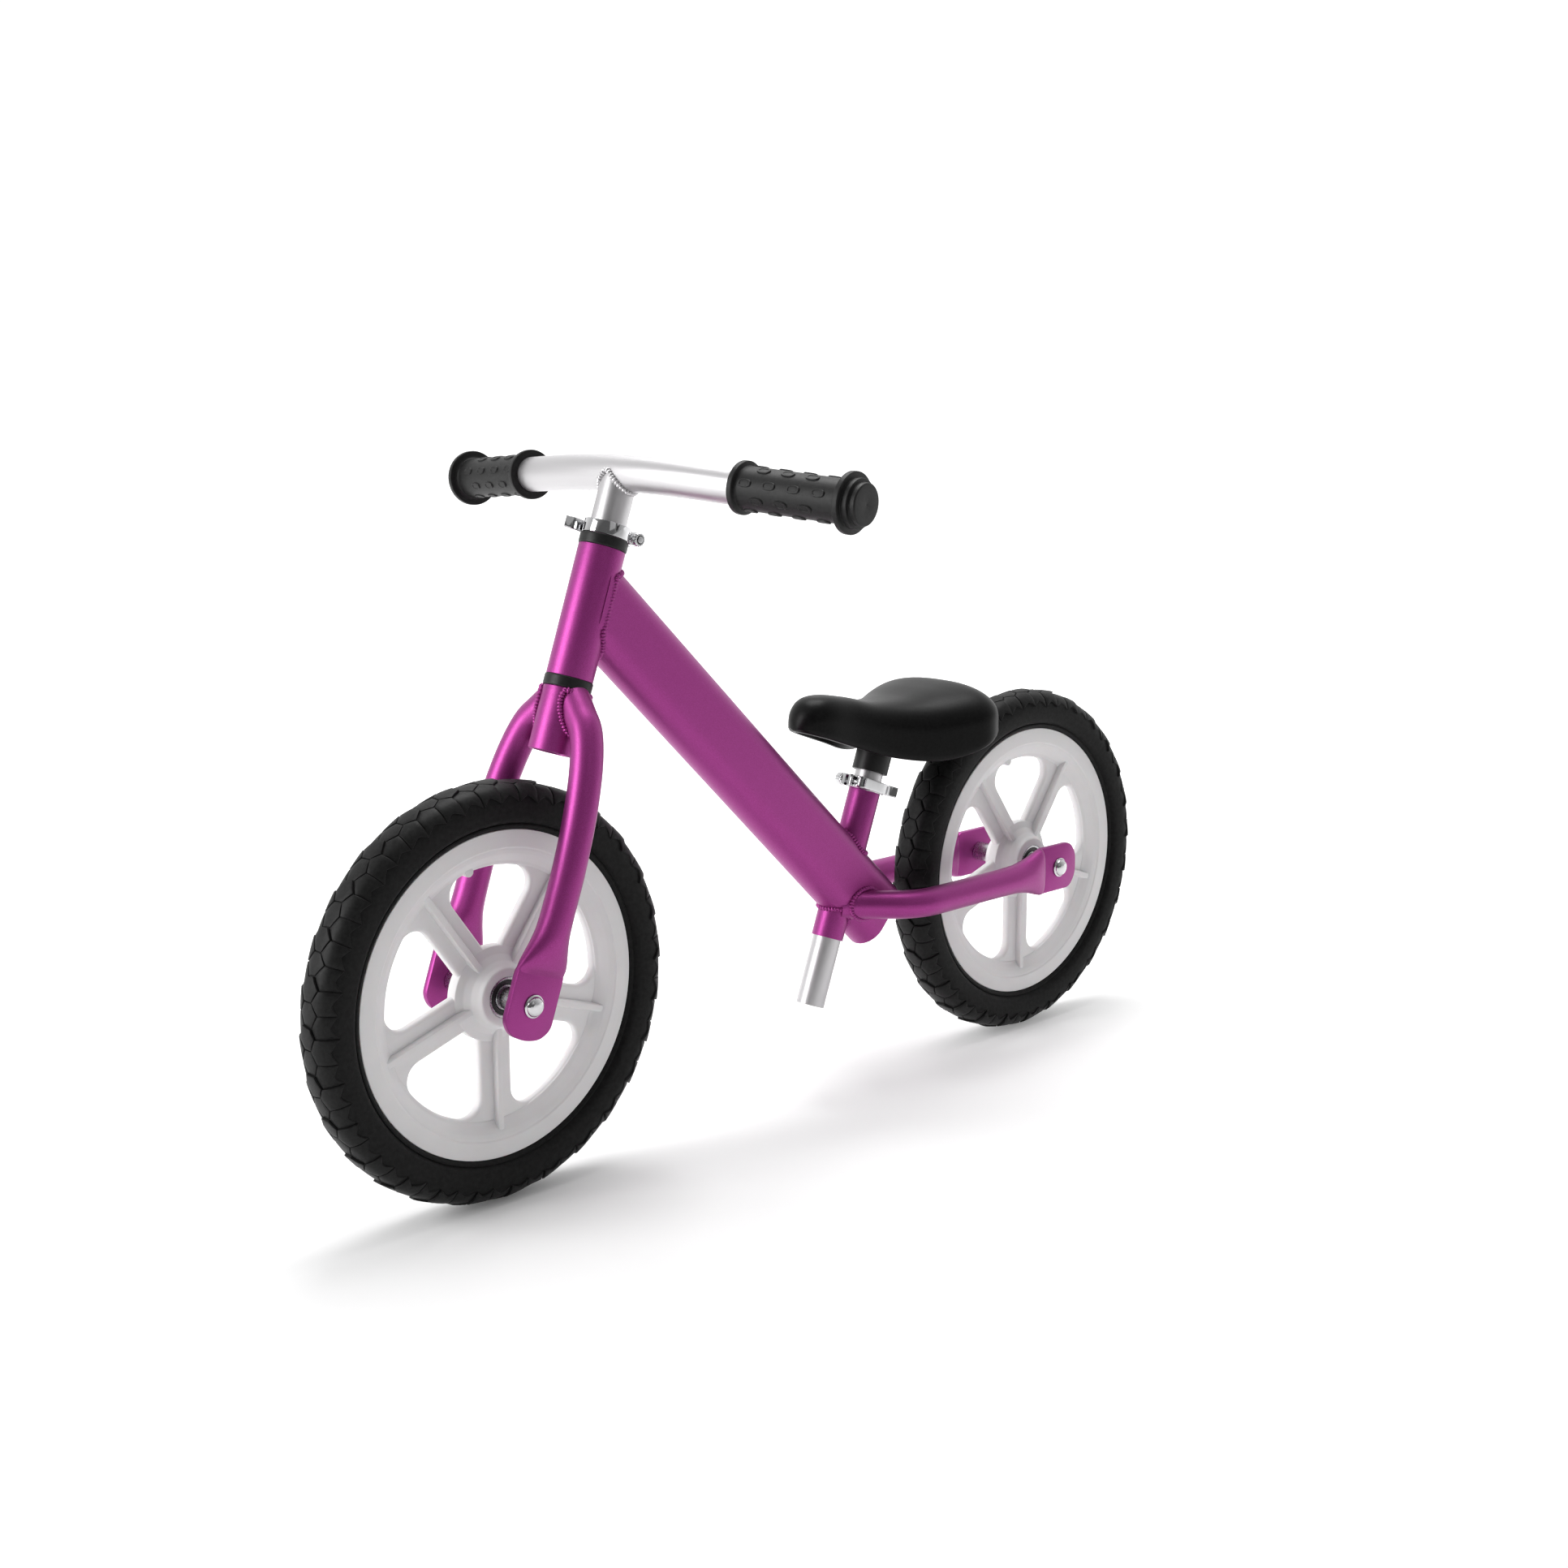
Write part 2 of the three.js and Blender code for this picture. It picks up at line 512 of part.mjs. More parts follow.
// Rings of [fraction of the outline, height function], from the centre below to the centre above.
function ringedSolid(rings) {
  const outline = saddleOutline();
  const count = outline.length;
  const positions = rings.flatMap(([fraction, height]) => outline.flatMap((point) => {
    const x = SADDLE_CENTRE + fraction * (point.x - SADDLE_CENTRE);
    return [x, fraction * point.y, height(x, fraction)];
  }));
  const index = [];
  for (let ring = 1; ring < rings.length; ring += 1) {
    for (let i = 0; i < count; i += 1) {
      const j = (i + 1) % count;
      const [inner, outer] = [(ring - 1) * count, ring * count];
      if (ring > 1) index.push(inner + i, inner + j, outer + j);
      if (ring < rings.length - 1) index.push(inner + i, outer + j, outer + i);
    }
  }
  const geometry = new THREE.BufferGeometry();
  geometry.setAttribute('position', new THREE.Float32BufferAttribute(positions, 3));
  geometry.setIndex(index);
  return geometry;
}

const COVER_THICKNESS = 9;
const topSkin = (x, fraction) => crownHeight(x) - edgeDrop(x) * fraction ** 2;
const ceiling = (x, fraction) => topSkin(x, fraction) - COVER_THICKNESS;

function saddleCoverGeometry() {
  const shoulder = (x) => topSkin(x, 1) - 6;
  return ringedSolid([
    [0, ceiling], [0.5, ceiling], [0.76, ceiling], [0.8, ceiling],
    [0.87, rimHeight], [0.97, rimHeight], [1, (x) => rimHeight(x) + 3], [1, shoulder],
    [0.94, (x) => topSkin(x, 1)], [0.6, topSkin], [0, topSkin],
  ]);
}

function saddleBaseGeometry() {
  const upper = (x, fraction) => ceiling(x, fraction) - 1.2;
  const lower = (x, fraction) => ceiling(x, fraction) - 4.2;
  const plate = ringedSolid([[0, lower], [0.5, lower], [0.76, lower],
    [0.76, upper], [0.5, upper], [0, upper]]);
  const socket = carried(sleeve(SOCKET.inner, SOCKET.outer, SOCKET.start, SOCKET.end), seat, bike);
  const above = ringedSolid([[0, upper], [0.5, upper], [0.76, upper], [0.76, () => 400], [0, () => 400]]);
  const pinHole = carried(rodAcross(2.35, -20, 20, 12).translate(0, 0, SOCKET.start + 24), seat, bike);
  return cut(join(plate, cut(socket, above)), pinHole);
}

function addSaddle() {
  const pinHeight = SOCKET.start + 24;
  const pinHole = rodAcross(2.35, -20, 20, 12).translate(0, 0, pinHeight);
  add(seat, 'seat_post', cut(sleeve(POST.inner, POST.outer, POST.start, POST.end), pinHole), satin);
  add(bike, 'saddle_base', saddleBaseGeometry(), blackPlastic);
  add(bike, 'saddle_cover', saddleCoverGeometry(), rubber);
  add(seat, 'saddle_pin', rodAcross(2, -14, 14, 12).translate(0, 0, pinHeight), steel);
}

// ---- the bike ----
addFrame();
addBushes();
addFork();
addAxle(front, 'front');
addAxle(rear, 'rear');
addWheel(front, 'front');
addWheel(rear, 'rear');
addClamp(steering, 'head', STEERER.outer, STEERER.end - CLAMP_HEIGHT / 2, 0, new THREE.Vector2(18.5, -23));
const seatClampHeight = SEAT_TUBE.length - CLAMP_HEIGHT / 2;
addClamp(seat, 'seat', SEAT_TUBE.outer, seatClampHeight, Math.PI, new THREE.Vector2(14, -20.5));
addHandlebar();
addSaddle();

export default bike;
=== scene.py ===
import math
import random

import bmesh
import bpy
import numpy as np
from mathutils import Matrix, Vector


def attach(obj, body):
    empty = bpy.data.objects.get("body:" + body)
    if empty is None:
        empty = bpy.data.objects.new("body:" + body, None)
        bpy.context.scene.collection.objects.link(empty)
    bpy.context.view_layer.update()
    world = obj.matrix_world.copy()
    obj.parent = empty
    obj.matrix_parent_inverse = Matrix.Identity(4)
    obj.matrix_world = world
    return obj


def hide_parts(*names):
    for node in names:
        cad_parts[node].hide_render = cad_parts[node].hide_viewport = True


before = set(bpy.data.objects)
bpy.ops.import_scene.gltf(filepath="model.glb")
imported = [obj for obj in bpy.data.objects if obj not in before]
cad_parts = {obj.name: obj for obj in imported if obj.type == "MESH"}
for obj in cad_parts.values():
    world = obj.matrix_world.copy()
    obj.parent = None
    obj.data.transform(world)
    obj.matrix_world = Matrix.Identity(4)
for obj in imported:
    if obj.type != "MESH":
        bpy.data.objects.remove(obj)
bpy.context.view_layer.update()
random.seed(11)

# ---------------------------------------------------------------- dimensions, millimetres
WHEELBASE = 560.7
AXLE_Z = 146.0
STEERING_LEAN = math.radians(19.7)
SEAT_LEAN = math.radians(20.65)
SPINE_SLOPE = math.radians(43.65)
HEAD_TUBE = (219.2, 310.8)  # start and end along the steering axis, as in CROWN
CROWN = (166.9, 211.2)
STEERER_TOP = 328.0
COLLAR_HEIGHT = 9.2
BAR_RADIUS = 12.5
BAR_HEIGHT = 364.0
BAR_BEND = 75.0
BAR_SWEEP = 0.1576
BAR_DROP = 0.0235
GRIP_START = 109.1
PLATE_IN, PLATE_OUT = 41.5, 46.5
RIM_RADIUS = 113.3
TYRE_CENTRE = 126.1
TYRE_RADIUS = 146.0
TREAD_HEIGHT = 2.2
TREAD_BLOCKS = 56  # in each of the three rows
TYRE_SKIN = (17.4, TYRE_RADIUS - TYRE_CENTRE - TREAD_HEIGHT, 2.5)  # half width, rise, squareness
SPOKES = 5
BOSS_ANGLE, BOSS_REACH = -78, 89.0  # a small boss on the rim, in degrees and millimetres
OVAL_HALF_WIDTH, OVAL_HALF_HEIGHT = 17.0, 28.5  # the down tube's section
SPINE_LENGTH = 470.0
BLADE, STAY = 11.3, 11.2  # radii of the fork legs and the chainstays
SEAT_TUBE_TOP = 127.5
GRIP_RADIUS = 14.5
GRIP_ROWS = 8
OVAL_PITCH = 19.5


def placed(x, y, z, lean):
    """A frame in metres whose Z leans by that angle about Y, at a point in millimetres."""
    move = Matrix.Translation(Vector((x, y, z)) * 0.001)
    return move @ Matrix.Rotation(lean, 4, "Y") @ Matrix.Scale(0.001, 4)


BIKE = placed(0, 0, 0, 0)
STEERING = placed(WHEELBASE / 2, 0, AXLE_Z, -STEERING_LEAN)
FRONT = placed(WHEELBASE / 2, 0, AXLE_Z, 0)
REAR = placed(-WHEELBASE / 2, 0, AXLE_Z, 0)
SPINE = placed(-100.9, 0, 130.4, math.pi / 2 - SPINE_SLOPE)
SEAT = placed(-47.8, 0, 120.9, -SEAT_LEAN)
ACROSS = Matrix.Rotation(-math.pi / 2, 4, "X")  # turns a shape about Z into one about Y
SWAP_YZ = Matrix(((1, 0, 0, 0), (0, 0, 1, 0), (0, 1, 0, 0), (0, 0, 0, 1)))


# ---------------------------------------------------------------- shapes as (points, faces)
def loft(rings, cyclic=False, caps=True):
    """Skins equal rings of points; cyclic joins the last ring to the first."""
    count = len(rings[0])
    points = [tuple(p) for ring in rings for p in ring]
    faces = []
    for r in range(len(rings) if cyclic else len(rings) - 1):
        a, b = r * count, (r + 1) % len(rings) * count
        for i in range(count):
            j = (i + 1) % count
            faces.append((a + i, a + j, b + j, b + i))
    if caps and not cyclic:
        faces.append(tuple(range(count))[::-1])
        faces.append(tuple(range((len(rings) - 1) * count, len(rings) * count)))
    return points, faces


def merged(*shapes):
    points, faces = [], []
    for p, f in shapes:
        start = len(points)
        points += p
        faces += [tuple(i + start for i in face) for face in f]
    return points, faces


def shifted(shape, matrix):
    return [tuple(matrix @ Vector(p)) for p in shape[0]], shape[1]


def mirrored(shape):
    """The same shape on the other side of the bike."""
    return [(x, -y, z) for x, y, z in shape[0]], [face[::-1] for face in shape[1]]


def rounded(outline, radius, steps=3, closed=True):
    """Replaces the corners of a 2-D outline with arcs."""
    out = []
    count = len(outline)
    for i, corner in enumerate(outline):
        if not closed and i in (0, count - 1):
            out.append(tuple(corner))
            continue
        here = Vector(corner)
        back, ahead = Vector(outline[i - 1]) - here, Vector(outline[(i + 1) % count]) - here
        reach = min(radius, back.length * 0.45, ahead.length * 0.45)
        start, end = here + back.normalized() * reach, here + ahead.normalized() * reach
        for k in range(steps + 1):
            t = k / steps
            out.append(tuple(start * (1 - t) ** 2 + here * 2 * t * (1 - t) + end * t * t))
    return out


def lathe(profile, sides=72, soft=0.5, hollow=True):
    """Turns an outline of (radius, height) about Z. A solid one starts and ends on the axis."""
    edge = rounded(profile, soft, closed=hollow)
    rings = [
        [(max(r, 1e-4) * math.cos(a), max(r, 1e-4) * math.sin(a), h)
         for a in (2 * math.pi * k / sides for k in range(sides))]
        for r, h in edge
    ]
    return loft(rings, cyclic=hollow, caps=False)


def tube(inner, outer, start, end, soft=0.5, sides=72):
    return lathe([(inner, start), (outer, start), (outer, end), (inner, end)], sides, soft)


def disc(radius, start, end, soft=0.5, sides=48):
    return lathe([(0, start), (radius, start), (radius, end), (0, end)], sides, soft, hollow=False)


def smooth_path(stations, steps):
    """Catmull-Rom through rows of numbers; each row may hold a place and any other measure."""
    rows = np.array(stations, float)
    rows = np.vstack([2 * rows[0] - rows[1], rows, 2 * rows[-1] - rows[-2]])
    out = []
    for i in range(1, len(rows) - 2):
        a, b, c, d = rows[i - 1:i + 3]
        for k in range(steps):
            t = k / steps
            out.append(0.5 * (2 * b + (c - a) * t + (2 * a - 5 * b + 4 * c - d) * t ** 2
                              + (3 * b - a - 3 * c + d) * t ** 3))
    out.append(rows[-2])
    return np.array(out)


def sweep(path, side, shape_at, count=40, caps=True, cyclic=False):
    """Carries a section along a path. side is one fixed section axis; shape_at(i, angle) gives (a, b)."""
    path = np.array(path, float)
    side = np.array(side, float)
    rings = []
    for i, point in enumerate(path):
        if cyclic:
            ahead = path[(i + 1) % len(path)] - path[i - 1]
        else:
            ahead = path[min(i + 1, len(path) - 1)] - path[max(i - 1, 0)]
        ahead /= np.linalg.norm(ahead)
        across = np.cross(ahead, side)
        across /= np.linalg.norm(across)
        first = np.cross(across, ahead)
        ring = []
        for k in range(count):
            a, b = shape_at(i, 2 * math.pi * k / count)
            ring.append(tuple(point + first * a + across * b))
        rings.append(ring)
    return loft(rings, cyclic, caps)


def superellipse(angle, a, b, power):
    c, s = math.cos(angle), math.sin(angle)
    return (a * math.copysign(abs(c) ** (2 / power), c), b * math.copysign(abs(s) ** (2 / power), s))


def offset_outline(outline, distance):
    """Moves a closed, anticlockwise 2-D outline inwards."""
    out = []
    for i, p in enumerate(outline):
        a, b = Vector(outline[i - 1]), Vector(outline[(i + 1) % len(outline)])
        along = (b - a).normalized()
        out.append((p[0] - along.y * distance, p[1] + along.x * distance))
    return out


def slab(outline, low, high, soft=0.7):
    """An anticlockwise (x, y) outline from height low to high, with rounded rims."""
    rings = []
    for height, inset in ((low, soft), (low + soft * 0.3, soft * 0.3), (low + soft, 0),
                          (high - soft, 0), (high - soft * 0.3, soft * 0.3), (high, soft)):
        rings.append([(x, y, height) for x, y in offset_outline(outline, inset)])
    return loft(rings)


def weld_bead(path, radius, pitch=2.3):
    """A closed bead of overlapping weld ripples along a loop of points."""
    loop = [Vector(p) for p in path]
    lengths = [0.0]
    for a, b in zip(loop, loop[1:] + loop[:1]):
        lengths.append(lengths[-1] + (b - a).length)
    total = lengths[-1]
    ripples = max(8, round(total / pitch))
    steps = ripples * 6
    places, k = [], 0
    for s in range(steps):
        want = total * s / steps
        while lengths[k + 1] < want:
            k += 1
        span = max(lengths[k + 1] - lengths[k], 1e-9)
        places.append(loop[k].lerp(loop[(k + 1) % len(loop)], (want - lengths[k]) / span))
    centre = sum(loop, Vector()) / len(loop)
    rings = []
    for s, point in enumerate(places):
        ahead = (places[(s + 1) % steps] - places[s - 1]).normalized()
        out = (point - centre).normalized()
        up = ahead.cross(out).normalized()
        out = up.cross(ahead)
        ripple = radius * (0.66 + 0.4 * (1 - (2 * (s % 6) / 6 - 1) ** 2))
        ripple *= 1 + 0.07 * math.sin(s * 0.37) + 0.05 * math.sin(s * 0.113)
        rings.append([tuple(point + (out * math.cos(t) + up * math.sin(t)) * ripple)
                      for t in (2 * math.pi * j / 10 for j in range(10))])
    return loft(rings, cyclic=True)


# ---------------------------------------------------------------- materials
def shader(name, **values):
    material = bpy.data.materials.new(name)
    material.use_nodes = True
    nodes = material.node_tree.nodes
    core = nodes["Principled BSDF"]
    for key, value in values.items():
        core.inputs[key.replace("_", " ")].default_value = value
    return material, nodes, material.node_tree.links, core


def noise(nodes, links, scale, detail):
    """Noise in the object's own coordinates, in metres."""
    place = nodes.new("ShaderNodeTexCoord")
    texture = nodes.new("ShaderNodeTexNoise")
    texture.inputs["Scale"].default_value = scale
    texture.inputs["Detail"].default_value = detail
    links.new(place.outputs["Object"], texture.inputs["Vector"])
    return texture.outputs["Fac"]


def spread(nodes, links, source, low, high):
    """Maps a 0..1 value to low..high."""
    remap = nodes.new("ShaderNodeMapRange")
    remap.inputs["From Min"].default_value = 0.3
    remap.inputs["From Max"].default_value = 0.7
    remap.inputs["To Min"].default_value = low
    remap.inputs["To Max"].default_value = high
    links.new(source, remap.inputs["Value"])
    return remap.outputs["Result"]


def bump(nodes, links, core, source, strength, distance):
    node = nodes.new("ShaderNodeBump")
    node.inputs["Strength"].default_value = strength
    node.inputs["Distance"].default_value = distance
    links.new(source, node.inputs["Height"])
    links.new(node.outputs["Normal"], core.inputs["Normal"])


def tinted(nodes, links, core, source, dark, light):
    mix = nodes.new("ShaderNodeMix")
    mix.data_type = "RGBA"
    mix.inputs["A"].default_value = (*dark, 1)
    mix.inputs["B"].default_value = (*light, 1)
    links.new(spread(nodes, links, source, 0, 1), mix.inputs["Factor"])
    links.new(mix.outputs["Result"], core.inputs["Base Color"])


def painted():
    material, nodes, links, core = shader(
        "candy_paint", Metallic=0.8, Coat_Weight=0.15, Coat_Roughness=0.3)
    flakes = noise(nodes, links, 2600, 2)
    tinted(nodes, links, core, flakes, (0.26, 0.026, 0.175), (0.40, 0.052, 0.285))
    links.new(spread(nodes, links, noise(nodes, links, 900, 3), 0.4, 0.47), core.inputs["Roughness"])
    bump(nodes, links, core, noise(nodes, links, 700, 2), 0.06, 0.0002)
    return material


def metal(name, colour, rough, grain):
    material, nodes, links, core = shader(name, Metallic=1.0)
    source = noise(nodes, links, grain, 4)
    tinted(nodes, links, core, source, tuple(c * 0.93 for c in colour), colour)
    links.new(spread(nodes, links, source, rough * 0.8, rough * 1.25), core.inputs["Roughness"])
    bump(nodes, links, core, source, 0.05, 0.0001)
    return material


def moulded():
    material, nodes, links, core = shader(
        "wheel_moulding", IOR=1.5, Subsurface_Weight=0.08, Subsurface_Scale=0.004)
    tinted(nodes, links, core, noise(nodes, links, 60, 4), (0.76, 0.745, 0.75), (0.78, 0.765, 0.77))
    links.new(spread(nodes, links, noise(nodes, links, 500, 3), 0.42, 0.58), core.inputs["Roughness"])
    bump(nodes, links, core, noise(nodes, links, 1600, 3), 0.16, 0.0002)
    return material


def black(name, dark, light, rough, grain, depth, shine=0.5):
    material, nodes, links, core = shader(name, IOR=1.5, Specular_IOR_Level=shine)
    tinted(nodes, links, core, noise(nodes, links, grain * 0.2, 4), (dark,) * 3, (light,) * 3)
    fine = noise(nodes, links, grain, 4)
    links.new(spread(nodes, links, fine, rough - 0.06, rough + 0.08), core.inputs["Roughness"])
    bump(nodes, links, core, fine, 0.35, depth)
    return material


PAINT = painted()
SATIN = metal("satin_aluminium", (0.6, 0.59, 0.6), 0.4, 1800)
CHROME = metal("chrome", (0.66, 0.66, 0.67), 0.08, 300)
STEEL = metal("zinc_steel", (0.5, 0.5, 0.51), 0.26, 1200)
MOULDED = moulded()
FOAM = black("tyre_foam", 0.004, 0.010, 0.6, 1500, 0.0003, 0.14)
TREAD = black("tread_skin", 0.005, 0.011, 0.46, 2200, 0.0002, 0.16)
SEAL = black("bearing_seal", 0.006, 0.012, 0.4, 1800, 0.0001)
GRIP = black("grip_rubber", 0.006, 0.012, 0.46, 2200, 0.0002, 0.26)
SKIN = black("saddle_skin", 0.002, 0.005, 0.35, 2600, 0.0001, 0.13)
PLASTIC = black("black_plastic", 0.005, 0.009, 0.42, 1600, 0.0001, 0.3)


# ---------------------------------------------------------------- pieces
SHARP_ANGLE = 32


def mesh_of(name, shape, where):
    """A clean mesh, in metres, of a shape that is drawn in the frame called where."""
    mesh = bpy.data.meshes.new(name)
    mesh.from_pydata([where @ Vector(p) for p in shape[0]], [], shape[1])
    work = bmesh.new()
    work.from_mesh(mesh)
    bmesh.ops.remove_doubles(work, verts=work.verts, dist=1e-6)
    bmesh.ops.recalc_face_normals(work, faces=work.faces)
    work.to_mesh(mesh)
    work.free()
    return mesh


def piece(name, shape, where, body, material, nodes=(), sharp=SHARP_ANGLE):
    """A named piece that rides on a body and stands for the given CAD nodes."""
    mesh = mesh_of(name, shape, where)
    mesh.shade_smooth()
    mesh.set_sharp_from_angle(angle=math.radians(sharp))
    mesh.materials.append(material)
    made = bpy.data.objects.new(name, mesh)
    bpy.context.scene.collection.objects.link(made)
    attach(made, body)
    if nodes:
        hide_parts(*nodes)
    return made


def carve(target, cutter_shape, where, operation="DIFFERENCE"):
    """Cuts a closed shape out of a piece, or with UNION adds it, for good."""
    tool = bpy.data.objects.new("cutter", mesh_of("cutter", cutter_shape, where))
    bpy.context.scene.collection.objects.link(tool)
    modifier = target.modifiers.new("cut", "BOOLEAN")
    modifier.operation = operation
    modifier.solver = "EXACT"
    modifier.object = tool
    bpy.context.view_layer.update()
    shown = bpy.data.meshes.new_from_object(
        target.evaluated_get(bpy.context.evaluated_depsgraph_get()))
    target.modifiers.clear()
    target.data = shown
    bpy.data.objects.remove(tool)
    shown.shade_smooth()
    shown.set_sharp_from_angle(angle=math.radians(SHARP_ANGLE))


# ---------------------------------------------------------------- wheels and tyres
def tread_point(angle, across, height):
    """A point of the tyre's outer skin, raised along its normal."""
    half_width, half_height, power = TYRE_SKIN
    share = min(abs(across) / half_width, 0.999)
    rise = half_height * (1 - share ** power) ** (1 / power)
    ny = math.copysign(share ** (power - 1) / half_width, across)
    nr = (rise / half_height) ** (power - 1) / half_height
    length = math.hypot(ny, nr)
    radius = TYRE_CENTRE + rise + nr / length * height
    y = across + ny / length * height
    return (radius * math.cos(angle), y, radius * math.sin(angle))


def tyre_shape():
    """Foam carcass: flat seat on the rim, bead lip, groove, then the swollen sidewall."""
    side = [(RIM_RADIUS + 0.3, 0.0), (RIM_RADIUS + 0.3, 12.0), (114.6, 13.0), (115.8, 13.6),
            (116.8, 13.5), (117.3, 12.9), (117.9, 13.4), (118.6, 15.0), (119.8, 16.1), (121.5, 16.8)]
    for k in range(13):
        turn = math.pi / 2 * (0.93 - k * 0.93 / 12)
        y, rise = superellipse(math.pi / 2 - turn, *TYRE_SKIN)
        side.append((TYRE_CENTRE + abs(rise), abs(y)))
    half = [p for p in side if p[1] >= 0]
    profile = half + [(r, -y) for r, y in half[-2:0:-1]]
    sides = 180
    rings = [[(r * math.cos(a), y, r * math.sin(a)) for r, y in profile]
             for a in (2 * math.pi * k / sides for k in range(sides))]
    return loft(rings, cyclic=True)


def lug_shape(corners, height):
    """One raised tread block on (distance round, distance across) corners."""
    edge = []
    for i, corner in enumerate(corners):
        nxt = corners[(i + 1) % len(corners)]
        edge += [(corner[0] + (nxt[0] - corner[0]) * k / 3, corner[1] + (nxt[1] - corner[1]) * k / 3)
                 for k in range(3)]
    cx = sum(p[0] for p in edge) / len(edge)
    cy = sum(p[1] for p in edge) / len(edge)

    low, high = min(x for x, y in edge), max(x for x, y in edge)

    def ring(inset, drop, share=1.0):
        out = []
        for x, y in edge:
            away = math.hypot(x - cx, y - cy)
            keep = (away - inset) / away * share
            px, py = cx + (x - cx) * keep, cy + (y - cy) * keep
            lift = -0.8 if drop is None else height * (0.5 + 0.5 * (px - low) / (high - low)) - drop
            out.append(tread_point(px / TYRE_RADIUS, py, lift))
        return out

    rings = [ring(0.3, None), ring(0.4, 0.35), ring(0.52, 0.1), ring(0.85, 0),
             ring(0.85, 0, 0.65), ring(0.85, 0, 0.3), ring(0.85, 0, 0.05)]
    return loft(rings)


def tread_shape():
    """Three rows of irregular blocks; every second block of a row stands proud of its neighbours."""
    blocks = TREAD_BLOCKS
    girth = 2 * math.pi * TYRE_RADIUS
    pitch = girth / blocks
    lines = (-16.3, -6.0, 6.0, 16.3)
    corners = []
    for k, across in enumerate(lines):
        row = []
        for i in range(2 * blocks):
            bulge = 2.3 if k in (1, 2) else 0.7
            side = (1 if i % 2 else -1) * (1 if k % 2 else -1)
            if k == 3:
                side = -side
            row.append((i * pitch / 2 + random.uniform(-1.1, 1.1),
                        across + side * bulge + random.uniform(-1, 1) * (0.9 if k in (1, 2) else 0.3)))
        corners.append(row)
    out = []
    for k, start in ((0, 0), (1, 1), (2, 0)):
        for i in range(blocks):
            def corner(line, step):
                index = 2 * i + start + step
                wrap = index // (2 * blocks)
                x, y = corners[line][index % (2 * blocks)]
                return (x + wrap * girth, y)
            loop = [corner(k, 0), corner(k, 1), corner(k, 2),
                    corner(k + 1, 2), corner(k + 1, 1), corner(k + 1, 0)]
            tall = TREAD_HEIGHT - 0.1 if k == 1 else 1.7
            out.append(lug_shape(loop, tall if i % 2 else tall * 0.45))
    return merged(*out)


def opening_outline(steps=10):
    """A rounded triangle between two spokes, centred on the X axis."""
    half = math.pi / SPOKES
    spoke, apex_round, corner_round, outer = 13.3, 7.0, 13.0, 87.8
    apex = (spoke + apex_round) / math.sin(half)
    reach = outer - corner_round
    turn = half - math.asin((spoke + corner_round) / reach)
    cx, cy = reach * math.cos(turn), reach * math.sin(turn)

    def arc(x, y, radius, start, end):
        return [(x + radius * math.cos(start + (end - start) * k / steps),
                 y + radius * math.sin(start + (end - start) * k / steps)) for k in range(steps + 1)]

    return (arc(apex, 0, apex_round, math.pi / 2 + half, 3 * math.pi / 2 - half)
            + arc(cx, -cy, corner_round, -math.pi / 2 - half, -turn)
            + arc(0, 0, outer, -turn, turn)
            + arc(cx, cy, corner_round, turn, math.pi / 2 + half))


def bevel_cutter(outline, half, flare, round_over):
    """An opening's cutter that leaves rounded edges on both faces of the web."""
    rings = []
    heights = [(-40, flare), (-half - 0.01, flare)]
    for k in range(1, 6):
        t = math.pi / 2 * k / 5
        heights.append((-half + round_over * (1 - math.cos(t)), round_over * (1 - math.sin(t))))
    for height, grow in heights + [(-h, g) for h, g in heights[::-1]]:
        rings.append([(x, y, height) for x, y in offset_outline(outline, -grow)])
    return loft(rings)


def rib_shape(angle):
    """The raised fin down the middle of a spoke, falling away towards the rim."""
    rings = []
    for reach, depth in ((17, 9.4), (24, 9.4), (60, 9.0), (88, 8.8), (96, 9.2), (103, 9.6)):
        ring = []
        for k in range(16):
            a, b = superellipse(2 * math.pi * k / 16, 2.9, depth, 5)
            ring.append((reach, a, b))
        rings.append(ring)
    return shifted(loft(rings), Matrix.Rotation(angle, 4, "Z"))


